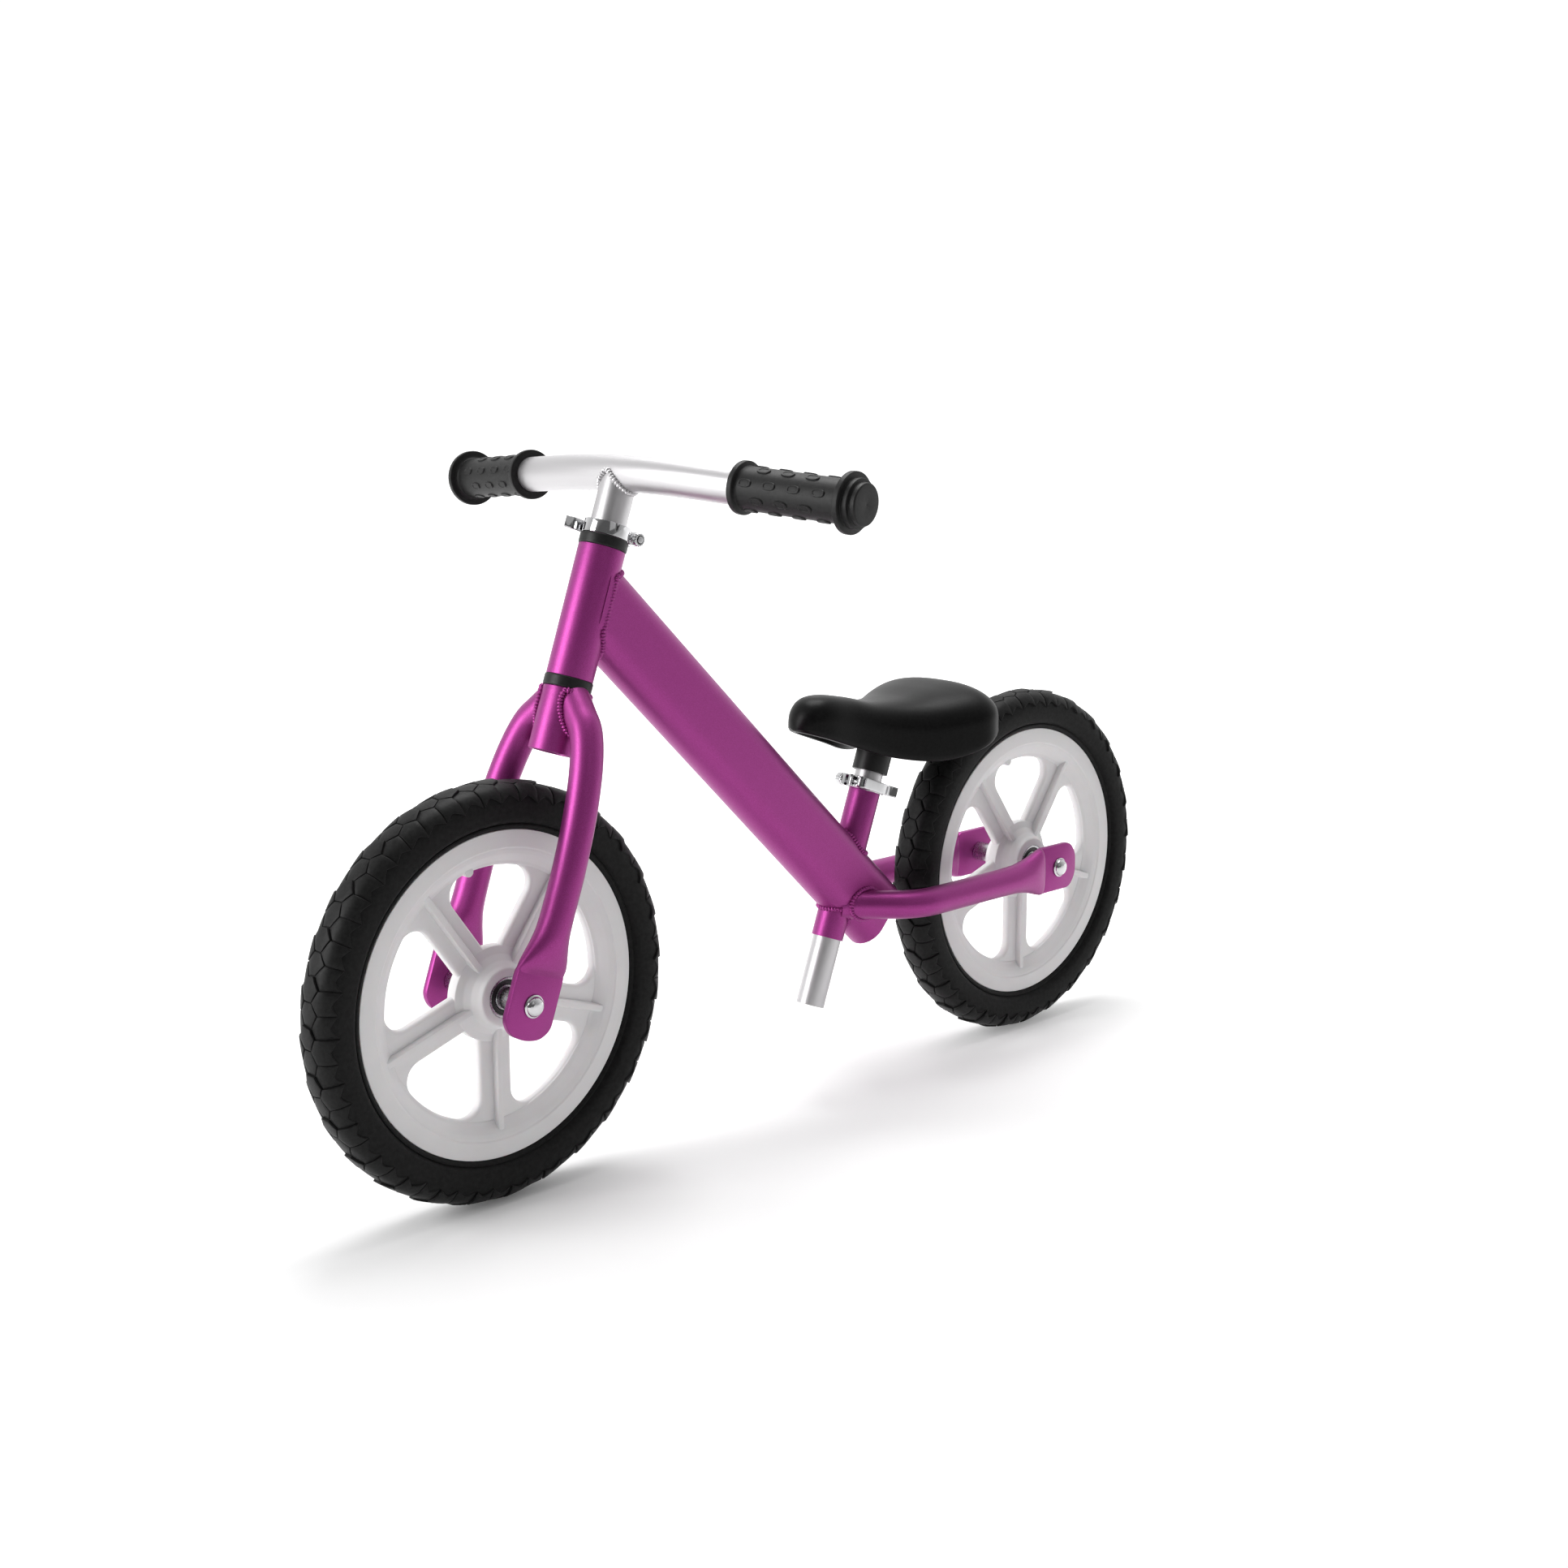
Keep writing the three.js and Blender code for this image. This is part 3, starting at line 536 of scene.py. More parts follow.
def wheel(prefix, where, body):
    across = where @ ACROSS
    plate = lathe([(15, -4), (110, -4), (110, 4), (15, 4)], 180, 0.2)
    made = piece(f"{prefix}_wheel_moulding", plate, across, body, MOULDED,
                 [f"{prefix}_wheel"])
    for k in range(SPOKES):
        turn = Matrix.Rotation(2 * math.pi * (k + 0.5) / SPOKES + math.pi / 2, 4, "Z")
        carve(made, shifted(bevel_cutter(opening_outline(), 4, 2.8, 2.8), turn), across)
    rim = [(RIM_RADIUS, -12.3), (RIM_RADIUS, 12.3), (101.4, 12.3), (100.6, 11.4), (99.4, 11.2),
           (96.5, 10.0), (93.5, 7.6), (91.0, 5.4), (88.6, 4.25), (88.3, 0), (88.6, -4.25), (91.0, -5.4),
           (93.5, -7.6), (96.5, -10.0), (99.4, -11.2), (100.6, -11.4), (101.4, -12.3)]
    hub = [(14.05, 17.5), (19.3, 17.5), (20.2, 16.8), (21.2, 13.5), (23.5, 9.5), (27.5, 6), (33, 4.15),
           (33, -4.15), (27.5, -6), (23.5, -9.5), (21.2, -13.5), (20.2, -16.8), (19.3, -17.5),
           (14.05, -17.5), (14.05, -9.2), (9.2, -9.2), (9.2, 9.2), (14.05, 9.2)]
    ribs = [rib_shape(2 * math.pi * k / SPOKES + math.pi / 2) for k in range(SPOKES)]
    spot = math.radians(BOSS_ANGLE)
    boss = shifted(disc(3.4, -5.4, 5.4, 0.8, 32),
                   Matrix.Translation((BOSS_REACH * math.cos(spot), BOSS_REACH * math.sin(spot), 0)))
    piece(f"{prefix}_wheel_rim", merged(lathe(rim, 180, 0.7), lathe(hub, 96, 0.6), boss, *ribs),
          across, body, MOULDED)
    piece(f"{prefix}_tyre_carcass", tyre_shape(), where, body, FOAM, [f"{prefix}_tyre"])
    piece(f"{prefix}_tyre_tread", tread_shape(), where, body, TREAD, sharp=50)
    holder = "frame" if prefix == "rear" else "fork"
    for side, sign in (("left", 1), ("right", -1)):
        flip = across if sign > 0 else where @ Matrix.Rotation(math.pi / 2, 4, "X")
        near, far = 9.6, 17.4
        outer = [(12.3, near), (13.98, near), (13.98, far), (12.3, far)]
        piece(f"{prefix}_bearing_race_{side}", lathe(outer, 64, 0.35), flip, body, STEEL,
              [f"{prefix}_bearing_outer_{side}"])
        seal = [(9.1, near + 5), (12.2, near + 5), (12.2, far - 0.2), (11.6, far - 0.2), (11.3, far - 0.55),
                (10.0, far - 0.6), (9.6, far - 0.35), (9.1, far - 0.4)]
        piece(f"{prefix}_bearing_shield_{side}", lathe(seal, 64, 0.15), flip, body, SEAL,
              [f"{prefix}_bearing_seal_{side}"])
        inner = [(6.35, near), (8.6, near), (8.6, far - 0.1), (6.35, far - 0.1)]
        piece(f"{prefix}_bearing_core_{side}", lathe(inner, 64, 0.4), flip, holder, STEEL,
              [f"{prefix}_bearing_inner_{side}"])
        spacer = [(6.35, far + 0.2), (7.5, far + 0.2), (7.9, far + 2.5), (7.9, 41.2), (6.35, 41.2)]
        piece(f"{prefix}_axle_spacer_{side}", lathe(spacer, 56, 0.3), flip, holder, STEEL,
              [f"{prefix}_spacer_{side}"])
        dome = [(0, 40), (3, 40), (3, 46.75), (8.0, 46.75), (8.1, 47.5), (7.3, 48.0), (6.9, 48.1),
                (6.6, 49.1), (5.6, 50.3), (3.9, 51.15), (1.8, 51.55), (0, 51.6)]
        piece(f"{prefix}_axle_screw_{side}", lathe(dome, 64, 0.5, hollow=False), flip, holder,
              CHROME, [f"{prefix}_axle_bolt_{side}"])


wheel("front", FRONT, "front_wheel_body")
wheel("rear", REAR, "rear_wheel_body")


# ---------------------------------------------------------------- painted tubes
def dropout_blade(stations, side_axis, place):
    """A round tube that widens and flattens: two numbers for its place, then width, thickness, power."""
    rows = smooth_path(stations, 6)
    path = [place(row[0], row[1]) for row in rows]

    def section(i, angle):
        return superellipse(angle, rows[i][2], rows[i][3], max(rows[i][4], 2))

    return sweep(path, side_axis, section, 48)


def stadium(half_width, half_height, steps=16):
    """Anticlockwise oval with straight sides: x is the long direction."""
    flat = half_height - half_width
    out = []
    for centre, start in ((flat, -math.pi / 2), (-flat, math.pi / 2)):
        out += [(centre + half_width * math.cos(start + math.pi * k / steps),
                 half_width * math.sin(start + math.pi * k / steps)) for k in range(steps + 1)]
    return out


def fork():
    piece("fork_crown_sleeve", tube(14.35, 16, *CROWN, 0.6), STEERING, "fork", PAINT,
          ["fork_crown"])
    rows = [(5, 210, BLADE, BLADE, 2), (9, 206, BLADE, BLADE, 2), (20, 195.5, BLADE, BLADE, 2),
            (31, 183.5, BLADE, BLADE, 2), (39.5, 161, BLADE, BLADE, 2), (45, 130, BLADE, BLADE, 2),
            (47.4, 95, BLADE, BLADE, 2), (47.3, 66, BLADE, BLADE, 2), (47.0, 52, 12.1, 11.0, 2),
            (46.6, 43, 14.2, 10.2, 2.1), (46.1, 35, 17.0, 8.6, 2.3), (45.4, 28, 19.3, 6.2, 2.7),
            (44.4, 23, 19.95, 3.6, 3.4), (44.0, 20.5, 20, 2.45, 5), (44.0, 18, 20, 2.4, 6)]
    blade = dropout_blade(rows, (1, 0, 0), lambda y, s: (0, y, s))
    outline = rounded(
        [(20, 26), (-20, 26), (-20, -14), (-12.5, -21.8), (0, -24), (12.5, -21.8), (20, -14)], 7, 6)
    plate = shifted(slab(outline, PLATE_IN, PLATE_OUT, 0.8), SWAP_YZ)
    left = merged(blade, plate)
    ring = []
    direction = Vector((0, 0.72, -0.69)).normalized()
    rise = Vector((0, 0.69, 0.72)).normalized()
    for k in range(60):
        turn = 2 * math.pi * k / 60
        p = Vector((0, 14, 201)) + (Vector((1, 0, 0)) * math.cos(turn) + rise * math.sin(turn)) * 12.4
        x = max(-15.4, min(15.4, p.x))
        travel = (math.sqrt(16.9 ** 2 - x * x) - p.y) / direction.y
        p += direction * travel
        ring.append((x, p.y, min(p.z, 209.5)))
    bead = weld_bead(ring, 2.1)
    for side, mirror in (("left", False), ("right", True)):
        flip = mirrored if mirror else (lambda shape: shape)
        made = piece(f"fork_leg_{side}", flip(left), STEERING, "fork", PAINT,
                     [f"fork_blade_{side}"])
        carve(made, disc(15.2, 150, 230, 0.1), STEERING)
        piece(f"fork_leg_weld_{side}", flip(bead), STEERING, "fork", PAINT)


def frame_tubes():
    piece("head_tube_sleeve", tube(15.4, 16.4, *HEAD_TUBE, 0.35), STEERING, "frame", PAINT,
          ["head_tube"])
    oval = stadium(OVAL_HALF_WIDTH, OVAL_HALF_HEIGHT)
    rings = [[(x, y, z) for x, y in oval] for z in np.linspace(0, SPINE_LENGTH, 12)]
    spine = piece("down_tube_oval", loft(rings), SPINE, "frame", PAINT,
                  ["down_tube", "down_tube_end_plate"])
    beyond = [(0, -60), (150, -60), (150, 60), (0, 60)]
    carve(spine, loft([[(x, y, z) for x, y in beyond] for z in (120, 480)]), STEERING)
    carve(spine, disc(16.2, 180, 420, 0.1, 72), STEERING)
    # the end plate sits a little inside the mouth at the cut rear end
    mouth = loft([[(x * 0.93, y * 0.93, z) for x, y in oval] for z in (-6, 0.8)])
    carve(spine, mouth, SPINE)
    piece("seat_tube_sleeve", tube(11.35, 12.5, 0, SEAT_TUBE_TOP, 0.45), SEAT, "frame", PAINT,
          ["seat_tube"])
    stay_rows = [(-55, 4, STAY, STAY, 2), (-61, 7, STAY, STAY, 2), (-72.7, 17, STAY, STAY, 2),
                 (-84, 28.6, STAY, STAY, 2), (-95.5, 39, STAY, STAY, 2), (-110, 45.8, STAY, STAY, 2),
                 (-130, 47.4, STAY, STAY, 2), (-190, 47.4, STAY, STAY, 2), (-217, 47.3, 11.6, 11.1, 2),
                 (-229, 47.0, 13.0, 10.7, 2.05), (-239, 46.8, 15.2, 9.8, 2.15), (-247, 46.5, 17.6, 8.4, 2.4),
                 (-253, 46.0, 19.2, 6.6, 2.9), (-256.4, 44.6, 19.4, 3.4, 4), (-258, 44, 19.4, 2.45, 6)]
    stay = dropout_blade(stay_rows, (0, 0, 1), lambda x, y: (x, y, AXLE_Z))
    outline = rounded([(-253, 19.4), (-295, 19.4), (-302.6, 9), (-302.6, -9), (-295, -19.4), (-253, -19.4)],
                      6, 6)
    plate = shifted(slab([(x, z + AXLE_Z) for x, z in outline], PLATE_IN, PLATE_OUT, 0.8), SWAP_YZ)
    left = merged(stay, plate)
    ring = [(-73.2 + 16.2 * math.cos(t), 17.3, AXLE_Z + 0.6 + 12.0 * math.sin(t))
            for t in (2 * math.pi * k / 60 for k in range(60))]
    for side, flip in (("left", lambda shape: shape), ("right", mirrored)):
        made = piece(f"chainstay_tube_{side}", flip(left), BIKE, "frame", PAINT,
                     [f"chainstay_{side}"])
        piece(f"chainstay_weld_{side}", flip(weld_bead(ring, 2.0)), BIKE, "frame", PAINT)


def head_weld():
    """The joint of oval tube and head tube: each outline point runs along the tube to the sleeve."""
    to_head = STEERING.inverted() @ SPINE
    ring = []
    for x, y in stadium(OVAL_HALF_WIDTH + 0.2, OVAL_HALF_HEIGHT + 0.2, 20):
        y = max(-15.6, min(15.6, y))
        start = to_head @ Vector((x, y, 300))
        ahead = (to_head.to_3x3() @ Vector((0, 0, 1))).normalized()
        a = ahead.x ** 2 + ahead.y ** 2
        b = 2 * (start.x * ahead.x + start.y * ahead.y)
        c = start.x ** 2 + start.y ** 2 - 16.6 ** 2
        travel = (-b - math.sqrt(max(b * b - 4 * a * c, 0))) / (2 * a)
        ring.append(tuple(start + ahead * travel))
    piece("head_tube_weld", weld_bead(ring, 2.2), STEERING, "frame", PAINT)


def seat_welds():
    """Beads where the seat tube passes through the top and the bottom of the oval tube."""
    to_spine = SPINE.inverted() @ SEAT
    back = to_spine.inverted()
    for name, sign in (("upper", -1), ("lower", 1)):
        ring = []
        for k in range(60):
            turn = 2 * math.pi * k / 60
            start = to_spine @ Vector((12.9 * math.cos(turn), 12.9 * math.sin(turn), 0))
            ahead = (to_spine.to_3x3() @ Vector((0, 0, 1))).normalized()
            flat = OVAL_HALF_HEIGHT - OVAL_HALF_WIDTH
            wall = sign * (flat + math.sqrt(max((OVAL_HALF_WIDTH + 0.1) ** 2 - start.y ** 2, 0)))
            ring.append(tuple(back @ (start + ahead * ((wall - start.x) / ahead.x))))
        piece(f"seat_tube_weld_{name}", weld_bead(ring, 2.0), SEAT, "frame", PAINT)


def headset():
    for name, start, end in (("lower", 211.5, 219.0), ("upper", 311.0, 318.5)):
        rim = [(14.4, start), (16.6, start), (16.9, start + 0.8),
               (16.9, end - 0.8), (16.6, end), (14.4, end)]
        piece(f"headset_ring_{name}", lathe(rim, 80, 0.4), STEERING, "frame", PLASTIC,
              [f"headset_bush_{name}"])


fork()
frame_tubes()
head_weld()
seat_welds()
headset()


# ---------------------------------------------------------------- clamps
def clamp(prefix, body, tube_radius, where, tip):
    """Collar with two ears at -X, a through bolt, a knurled nut at +Y and a curled lever at -Y."""
    half = COLLAR_HEIGHT / 2
    inner, outer = tube_radius + 0.15, tube_radius + 2.3
    bolt_x = -(tube_radius + 6.4)
    collar = piece(f"{prefix}_collar_band", tube(inner, outer, -half, half, 0.5), where, body,
                   CHROME, [f"{prefix}_clamp_collar"])
    ear = rounded([(bolt_x - 4.8, -5.3), (-(outer - 1.2), -5.3), (-(outer - 1.2), 5.3), (bolt_x - 4.8, 5.3)],
                  1.6, 4)
    carve(collar, slab(ear, -half, half, 0.5), where, "UNION")
    carve(collar, loft([[(-60, y, z) for y, z in ((-1.5, -9), (1.5, -9), (1.5, 9), (-1.5, 9))],
                        [(-6, y, z) for y, z in ((-1.5, -9), (1.5, -9), (1.5, 9), (-1.5, 9))]]), where)
    carve(collar, disc(inner, -9, 9, 0.1, 72), where)
    cross = where @ Matrix.Translation((bolt_x, 0, 0)) @ ACROSS
    piece(f"{prefix}_bolt_shank", disc(2.4, -9.5, 13.6, 0.5, 32), cross, body, STEEL,
          [f"{prefix}_clamp_bolt"])
    rings = []
    for height, grow in ((5.5, -0.5), (6.0, 0), (7.2, 0), (7.5, -0.5), (7.8, 0),
                         (11.9, 0), (12.4, -0.3), (12.8, -0.8)):
        rings.append([((4.75 + grow + 0.12 * math.cos(18 * t)) * math.cos(t),
                       (4.75 + grow + 0.12 * math.cos(18 * t)) * math.sin(t), height)
                      for t in (2 * math.pi * k / 108 for k in range(108))])
    for height, radius in ((12.8, 3.1), (11.9, 2.9), (5.5, 2.9)):
        rings.append([(radius * math.cos(t), radius * math.sin(t), height)
                      for t in (2 * math.pi * k / 108 for k in range(108))])
    piece(f"{prefix}_nut_knurled", loft(rings, cyclic=True), cross, body, CHROME,
          [f"{prefix}_clamp_nut"])
    pivot = Vector((bolt_x, -11.7, 0))
    pin = shifted(disc(3.6, -half + 0.2, half - 0.2, 0.4, 40), Matrix.Translation(pivot))
    piece(f"{prefix}_pivot_pin", pin, where, body, STEEL, [f"{prefix}_clamp_pin"])
    lever_body = "head_lever" if prefix == "head" else "seat_lever"
    bend = smooth_path([(pivot.x - 1, pivot.y - 4.6, 0), (pivot.x + 9, pivot.y - 5.4, 0),
                        (0, -(tube_radius + 5.2), 0), (tip[0] - 6, tip[1] + 3.6, 0), (tip[0], tip[1], 0)], 6)
    high = half - 0.35

    def band(i, angle):
        share = i / (len(bend) - 1)
        thick = 1.35 + 0.9 * max(0, share - 0.8) / 0.2
        return superellipse(angle, high * (1 - 0.05 * share ** 2), thick, 7)

    arm = sweep(bend, (0, 0, 1), band, 36)
    cam = shifted(tube(4.05, 6, -high, high, 0.7, 56), Matrix.Translation(pivot))
    made = piece(f"{prefix}_lever_arm", merged(arm, cam), where, lever_body, CHROME,
                 [f"{prefix}_clamp_lever"])
    carve(made, shifted(disc(4.0, -9, 9, 0.1, 40), Matrix.Translation(pivot)), where)
    slot = [(pivot.x, pivot.y)]
    slot += [(pivot.x + 12 * math.cos(t), pivot.y + 12 * math.sin(t))
             for t in (math.radians(50 + 202 * k / 12) for k in range(13))]
    rings = [[(x, y, z) for x, y in slot] for z in (-3.1, 3.1)]
    carve(made, loft(rings), where)


HEAD_CLAMP = STEERING @ Matrix.Translation((0, 0, STEERER_TOP - COLLAR_HEIGHT / 2))
SEAT_CLAMP = (SEAT @ Matrix.Translation((0, 0, SEAT_TUBE_TOP - COLLAR_HEIGHT / 2))
              @ Matrix.Rotation(math.pi, 4, "Z"))
clamp("head", "fork", 14.0, HEAD_CLAMP, (18.5, -23))
clamp("seat", "frame", 12.5, SEAT_CLAMP, (14, -20.5))


# ---------------------------------------------------------------- handlebar and grips
def bar_point(y):
    distance = abs(y)
    bent = min(distance, BAR_BEND)
    run = bent ** 2 / (2 * BAR_BEND) + (distance - bent)
    return (-BAR_SWEEP * run, y, BAR_HEIGHT - BAR_DROP * run)


def round_section(radius):
    return lambda i, angle: (radius * math.cos(angle), radius * math.sin(angle))


def grip_shape():
    """Flanged grip along Z with staggered rows of raised ovals."""
    outline = [(12.6, 0), (17.8, 0), (17.8, 4), (14.7, 4.6), (GRIP_RADIUS, 6), (GRIP_RADIUS, 84),
               (14.8, 85.4), (16.5, 86), (20.2, 86), (20.2, 90), (16.4, 90), (16.4, 94.6), (13.9, 94.6),
               (13.9, 98.6), (13.2, 99.2)]
    body = lathe(outline + [(0, 99.2), (0, 94), (12.6, 94)], 96, 0.7, hollow=False)
    ovals = []
    for row in range(GRIP_ROWS):
        turn = 2 * math.pi * row / GRIP_ROWS
        for k in range(4):
            z = 12 + OVAL_PITCH * (k + 0.5 * (row % 2))
            if z > 78:
                continue
            rings = []
            for shrink, lift in ((1, -0.5), (0.97, 0.45), (0.88, 0.85),
                                 (0.7, 0.85), (0.6, 0.5), (0.3, 0.5)):
                ring = []
                for j in range(24):
                    a, b = superellipse(2 * math.pi * j / 24, 5.4 * shrink, 2.8 * shrink, 2.5)
                    around = turn + b / GRIP_RADIUS
                    radius = GRIP_RADIUS + lift
                    ring.append((radius * math.cos(around), radius * math.sin(around), z + a))
                rings.append(ring)
            ovals.append(loft(rings))
    return merged(body, *ovals)


def handlebar():
    reach = GRIP_START + 92
    rows = [bar_point(y) for y in np.linspace(-reach, reach, 61)]
    bar = sweep(rows, (1, 0, 0), round_section(BAR_RADIUS), 64)
    piece("handlebar_bent_bar", bar, STEERING, "handlebar", SATIN, ["handlebar_tube"])
    stem = tube(10.5, BAR_RADIUS, 240, BAR_HEIGHT - 4, 0.5)
    piece("stem_upright", stem, STEERING, "handlebar", SATIN, ["stem_tube"])
    ring = []
    for k in range(60):
        turn = 2 * math.pi * k / 60
        x, y = 13.2 * math.cos(turn), 13.2 * math.sin(turn)
        ring.append((x, y, BAR_HEIGHT - math.sqrt(max(13.3 ** 2 - x * x, 0))))
    piece("stem_weld", weld_bead(ring, 1.9), STEERING, "handlebar", SATIN)
    shape = grip_shape()
    for side, sign in (("left", 1), ("right", -1)):
        start = Vector(bar_point(sign * GRIP_START))
        ahead = (Vector(bar_point(sign * (GRIP_START + 50))) - start).normalized()
        turn = ahead.to_track_quat("Z", "X").to_matrix().to_4x4()
        piece(f"grip_sleeve_{side}", shape, STEERING @ Matrix.Translation(start) @ turn, "handlebar",
              GRIP, [f"grip_{side}"])


handlebar()


# ---------------------------------------------------------------- saddle
def along(points):
    """A smooth height by x through the given (x, height) points, which run backwards."""
    rows = smooth_path(points, 12)
    xs, zs = rows[::-1, 0], rows[::-1, 1]
    return lambda x: float(np.interp(x, xs, zs))


SADDLE_SPINE = (-168.0, -30.0)  # the skin closes on this line down the saddle's middle
COVER_THICKNESS = 9.0
crown_height = along([(-8, 303), (-20, 311), (-38, 313.6), (-62, 310), (-90, 304), (-120, 304),
                      (-150, 309), (-172, 312), (-188, 310), (-197, 306.5), (-204, 302)])
rim_height = along([(-8, 290), (-30, 282.6), (-62, 271.5), (-92, 261.5), (-125, 256.6), (-152, 261),
                    (-175, 270), (-190, 275), (-204, 277)])
shoulder_depth = along([(-8, 15), (-30, 18), (-62, 22), (-92, 22), (-125, 25), (-152, 26), (-175, 26),
                        (-190, 24), (-204, 21)])


def saddle_outline(count=120):
    """The plan outline from the nose round the left side to the tail and back, evenly spaced."""
    half = [(-16.5, -12), (-11, 0), (-16.5, 12), (-31, 19.5), (-62, 22.5), (-92, 31), (-125, 47),
            (-148, 58), (-168, 63.5), (-185, 56), (-196, 36), (-200, 0), (-196, -36)]
    rows = smooth_path(half, 24)[24:-24]
    steps = np.r_[0, np.cumsum(np.linalg.norm(np.diff(rows, axis=0), axis=1))]
    wanted = np.linspace(0, steps[-1], count // 2 + 1)
    left = np.c_[np.interp(wanted, steps, rows[:, 0]), np.interp(wanted, steps, rows[:, 1])]
    left[0, 1] = left[-1, 1] = 0
    return [tuple(p) for p in left] + [(x, -y) for x, y in left[-2:0:-1]]


def saddle_ring(outline, share, height):
    """The outline drawn in towards the spine: share is 1 on the outline and 0 on the spine."""
    ring = []
    for x, y in outline:
        root = min(max(x, SADDLE_SPINE[0]), SADDLE_SPINE[1])
        px = root + share * (x - root)
        ring.append((px, share * y, height(px, share)))
    return ring


def saddle_top(x, share):
    """The cover's skin: level along the spine and rounding over to the shoulder on the outline."""
    return crown_height(x) - shoulder_depth(x) * (1 - (1 - min(share, 1) ** 2.6) ** (1 / 2.2))


def saddle_roof(x, share):
    """The hollow under the cover."""
    return saddle_top(x, share * 0.86) - COVER_THICKNESS


def saddle():
    outline = saddle_outline()

    def level(outline, height):
        return [(x, y, height(x)) for x, y in outline]

    rings = [saddle_ring(outline, share, saddle_roof) for share in (0, 0.15, 0.3, 0.45, 0.6, 0.72, 0.8)]
    for inset, drop in ((8.5, 0.08), (7.2, 0.3), (6.4, 0.6), (6.0, 0.9)):
        rings.append(level(offset_outline(outline, inset),
                           lambda x, d=drop: (1 - d) * saddle_roof(x, 0.85) + d * rim_height(x)))
    for inset, lift in ((5.6, 0.25), (4.6, 0), (2.4, 0), (1.1, 0.5), (0.3, 1.8)):
        rings.append(level(offset_outline(outline, inset), lambda x, up=lift: rim_height(x) + up))
    for share in (0.15, 0.35, 0.55, 0.75, 0.9):
        rings.append(level(outline,
                           lambda x, s=share: (1 - s) * (rim_height(x) + 1.8) + s * saddle_top(x, 1)))
    for k in range(22):
        share = math.cos(math.pi / 2 * k / 21) ** 0.7
        rings.append(saddle_ring(outline, share if k < 21 else 0, saddle_top))
    cover = piece("saddle_pad", loft(rings, caps=False), BIKE, "saddle", SKIN,
                  ["saddle_cover"], sharp=60)
    base_rings = [saddle_ring(outline, f, lambda x, s, d=d: saddle_roof(x, s) - d)
                  for f, d in ((0, 4.2), (0.3, 4.2), (0.55, 4.2), (0.72, 4.0), (0.74, 3.4), (0.74, 1.8),
                               (0.72, 1.2), (0.5, 1.2), (0.25, 1.2), (0, 1.2))]
    piece("saddle_pan", loft(base_rings, caps=False), BIKE, "saddle", PLASTIC,
          ["saddle_base"])
    socket = piece("saddle_socket", tube(11.2, 14.15, 134.1, 180, 0.6), SEAT, "saddle",
                   PLASTIC)
    ceiling = loft([saddle_ring(outline, f, lambda x, s, d=d: saddle_roof(x, s) - d if d < 50 else 380)
                    for f, d in ((0.01, 1.4), (0.4, 1.4), (0.8, 1.4), (0.8, 99), (0.01, 99))])
    carve(socket, ceiling, BIKE)
    webs = []
    for turn in (0.25, 0.75, 1.25, 1.75):
        wall = rounded([(12.5, 150), (15.2, 150), (26, 172), (26, 179), (12.5, 179)], 1.5, 3)
        fin = slab(wall, -1.1, 1.1, 0.4)
        fin = shifted(fin, Matrix.Rotation(math.pi / 2, 4, "X"))
        webs.append(shifted(fin, Matrix.Rotation(turn * math.pi, 4, "Z")))
    fins = piece("saddle_socket_fins", merged(*webs), SEAT, "saddle", PLASTIC)
    carve(fins, ceiling, BIKE)
    piece("seat_post_tube", tube(9.6, 11, -54.2, 171, 0.5), SEAT, "saddle", SATIN,
          ["seat_post"])


saddle()

# ---------------------------------------------------------------- hidden metal pieces keep their own solids
for name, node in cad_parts.items():
    if not node.hide_render:
        node.data.materials.clear()
        node.data.materials.append(PAINT if name == "steerer_tube" else STEEL)


# ---------------------------------------------------------------- floor, light and camera
FLOOR_HALF = 60.0


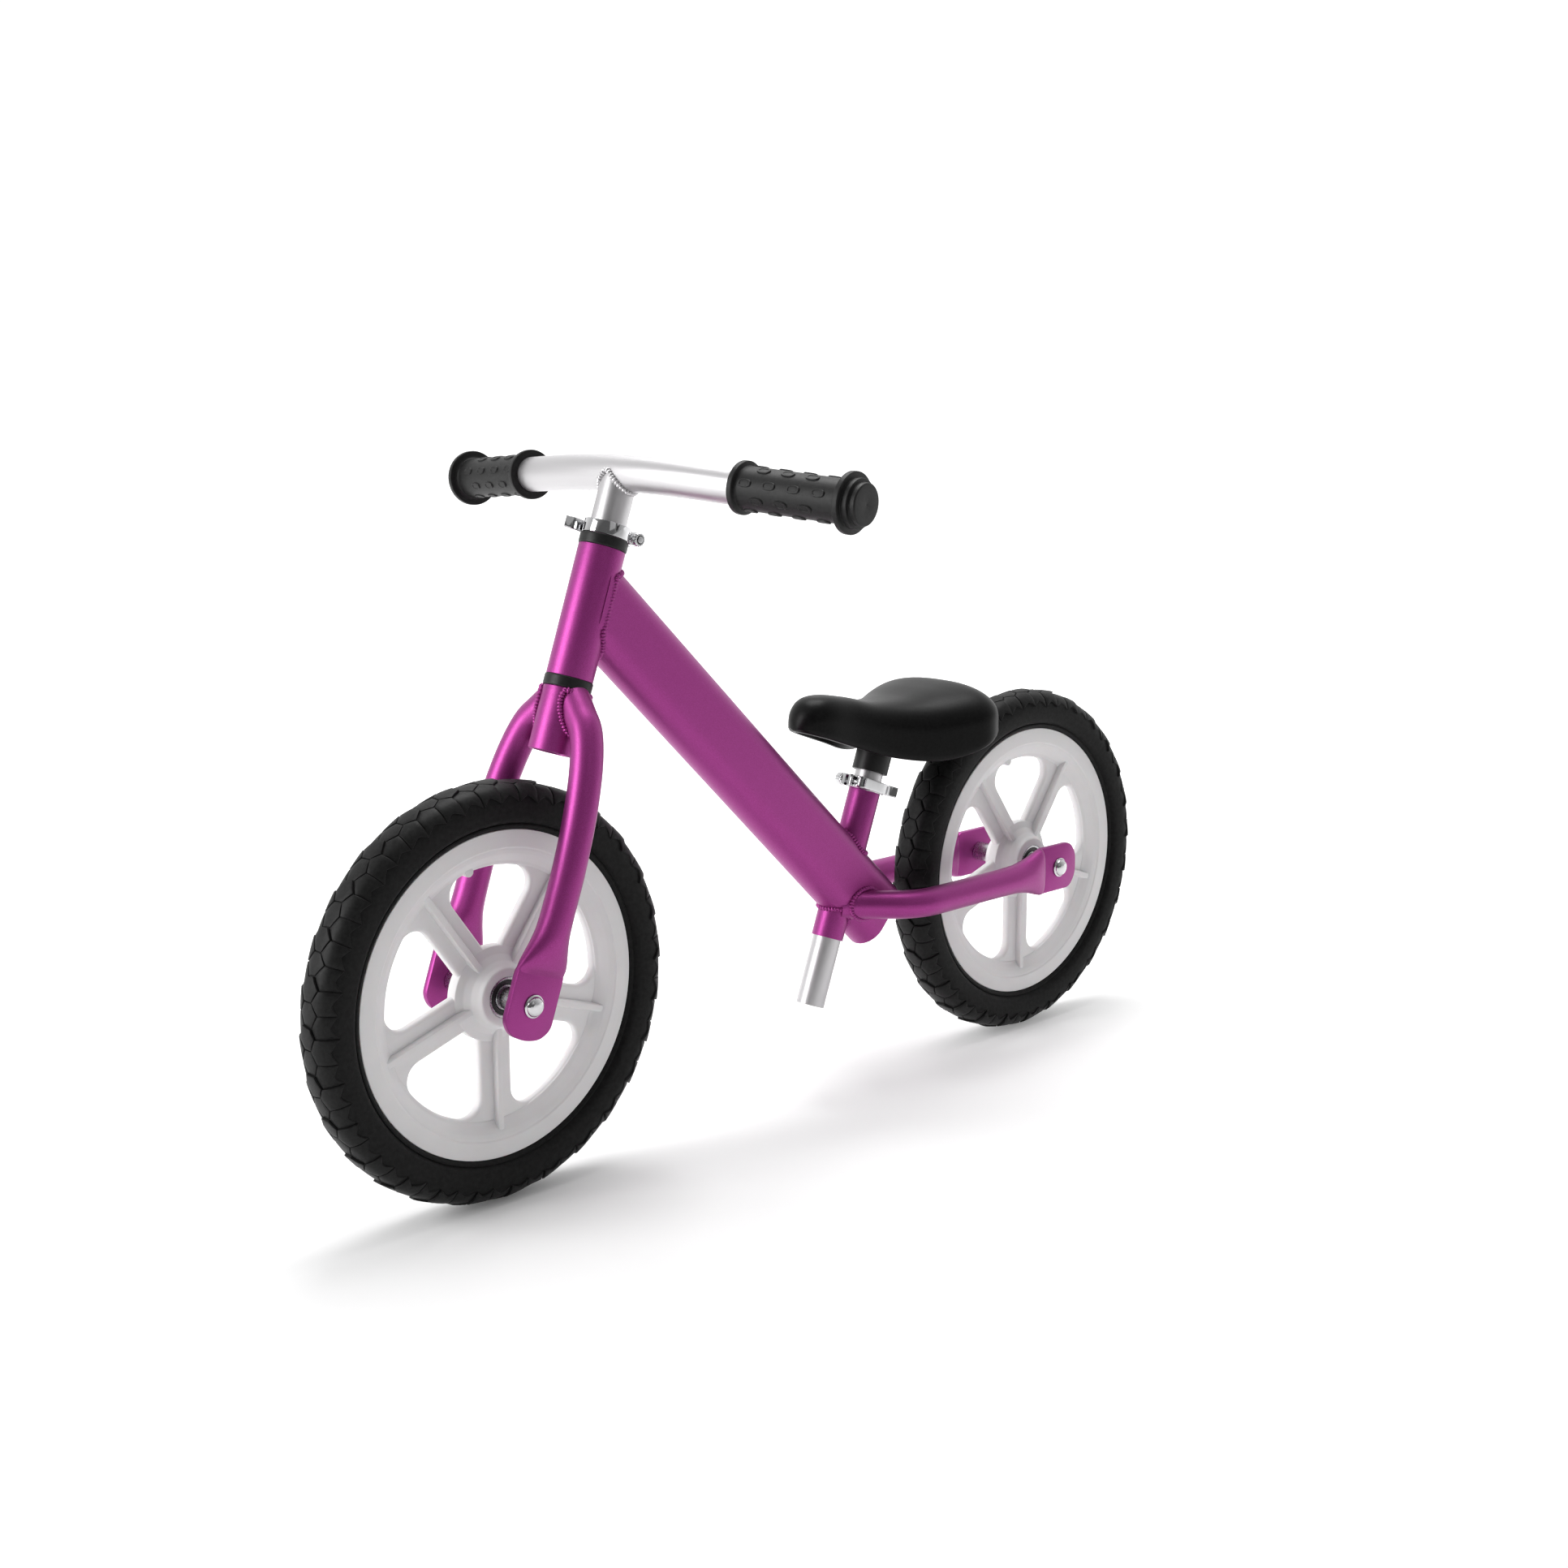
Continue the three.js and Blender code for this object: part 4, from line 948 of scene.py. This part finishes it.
def floor():
    """A pale floor that glows faintly far behind the bike, so that it meets the backdrop without a line."""
    mesh = bpy.data.meshes.new("studio_floor")
    corners = [(-FLOOR_HALF, -FLOOR_HALF, 0), (FLOOR_HALF, -FLOOR_HALF, 0), (FLOOR_HALF, FLOOR_HALF, 0),
               (-FLOOR_HALF, FLOOR_HALF, 0)]
    mesh.from_pydata(corners, [], [(0, 1, 2, 3)])
    made = bpy.data.objects.new("studio_floor", mesh)
    bpy.context.scene.collection.objects.link(made)
    material, nodes, links, core = shader(
        "studio_floor", Roughness=0.85, Specular_IOR_Level=0.1, Emission_Color=(1, 1, 1, 1))
    tinted(nodes, links, core, noise(nodes, links, 1.5, 2), (0.86, 0.86, 0.86), (0.9, 0.9, 0.9))
    place = nodes.new("ShaderNodeTexCoord")
    away = nodes.new("ShaderNodeVectorMath")
    away.operation = "DOT_PRODUCT"
    away.inputs[1].default_value = (-0.7071, -0.7071, 0)
    links.new(place.outputs["Object"], away.inputs[0])
    ramp = nodes.new("ShaderNodeMapRange")
    ramp.interpolation_type = "SMOOTHSTEP"
    ramp.inputs["From Min"].default_value = -0.6
    ramp.inputs["From Max"].default_value = 1.6
    ramp.inputs["To Min"].default_value = 0.0
    ramp.inputs["To Max"].default_value = 0.75
    links.new(away.outputs["Value"], ramp.inputs["Value"])
    links.new(ramp.outputs["Result"], core.inputs["Emission Strength"])
    made.data.materials.append(material)


def area_light(name, place, target, size, power):
    light = bpy.data.lights.new(name, "AREA")
    light.shape = "RECTANGLE"
    light.size, light.size_y = size
    light.energy = power
    made = bpy.data.objects.new(name, light)
    made.location = place
    made.rotation_euler = (Vector(target) - Vector(place)).to_track_quat("-Z", "Y").to_euler()
    bpy.context.scene.collection.objects.link(made)


def surroundings():
    """A studio that is bright behind the bike and overhead, and dimmer around the camera."""
    world = bpy.data.worlds.new("studio")
    bpy.context.scene.world = world
    world.use_nodes = True
    nodes, links = world.node_tree.nodes, world.node_tree.links
    place = nodes.new("ShaderNodeTexCoord")
    turn = nodes.new("ShaderNodeVectorMath")
    turn.operation = "DOT_PRODUCT"
    turn.inputs[1].default_value = (-0.70, -0.70, 0.1)
    links.new(place.outputs["Generated"], turn.inputs[0])
    ramp = nodes.new("ShaderNodeMapRange")
    ramp.inputs["From Min"].default_value = -0.75
    ramp.inputs["From Max"].default_value = 0.7
    ramp.inputs["To Min"].default_value = 0.12
    ramp.inputs["To Max"].default_value = 1.05
    links.new(turn.outputs["Value"], ramp.inputs["Value"])
    links.new(ramp.outputs["Result"], nodes["Background"].inputs["Strength"])
    nodes["Background"].inputs["Color"].default_value = (1, 1, 1, 1)


floor()
surroundings()
area_light("strip_front", (2.2, -0.75, 0.95), (0.1, 0, 0.25), (1.0, 1.6), 38)
area_light("fill_side", (0.6, 2.4, 1.5), (0, 0, 0.2), (1.2, 1.2), 1.5)
area_light("overhead", (-0.3, -0.3, 1.9), (0, 0, 0), (1.1, 1.1), 22)

camera = bpy.data.objects.new("camera", bpy.data.cameras.new("camera"))
bpy.context.scene.collection.objects.link(camera)
camera.data.lens = 50
camera.data.sensor_width = 36
camera.location = (1.14168, 1.14012, 0.56978)
aim = Vector((0.01245, 0.01255, 0.25345)) - camera.location
camera.rotation_euler = aim.to_track_quat("-Z", "Y").to_euler()
bpy.context.scene.camera = camera
bpy.context.scene.view_settings.view_transform = "Standard"
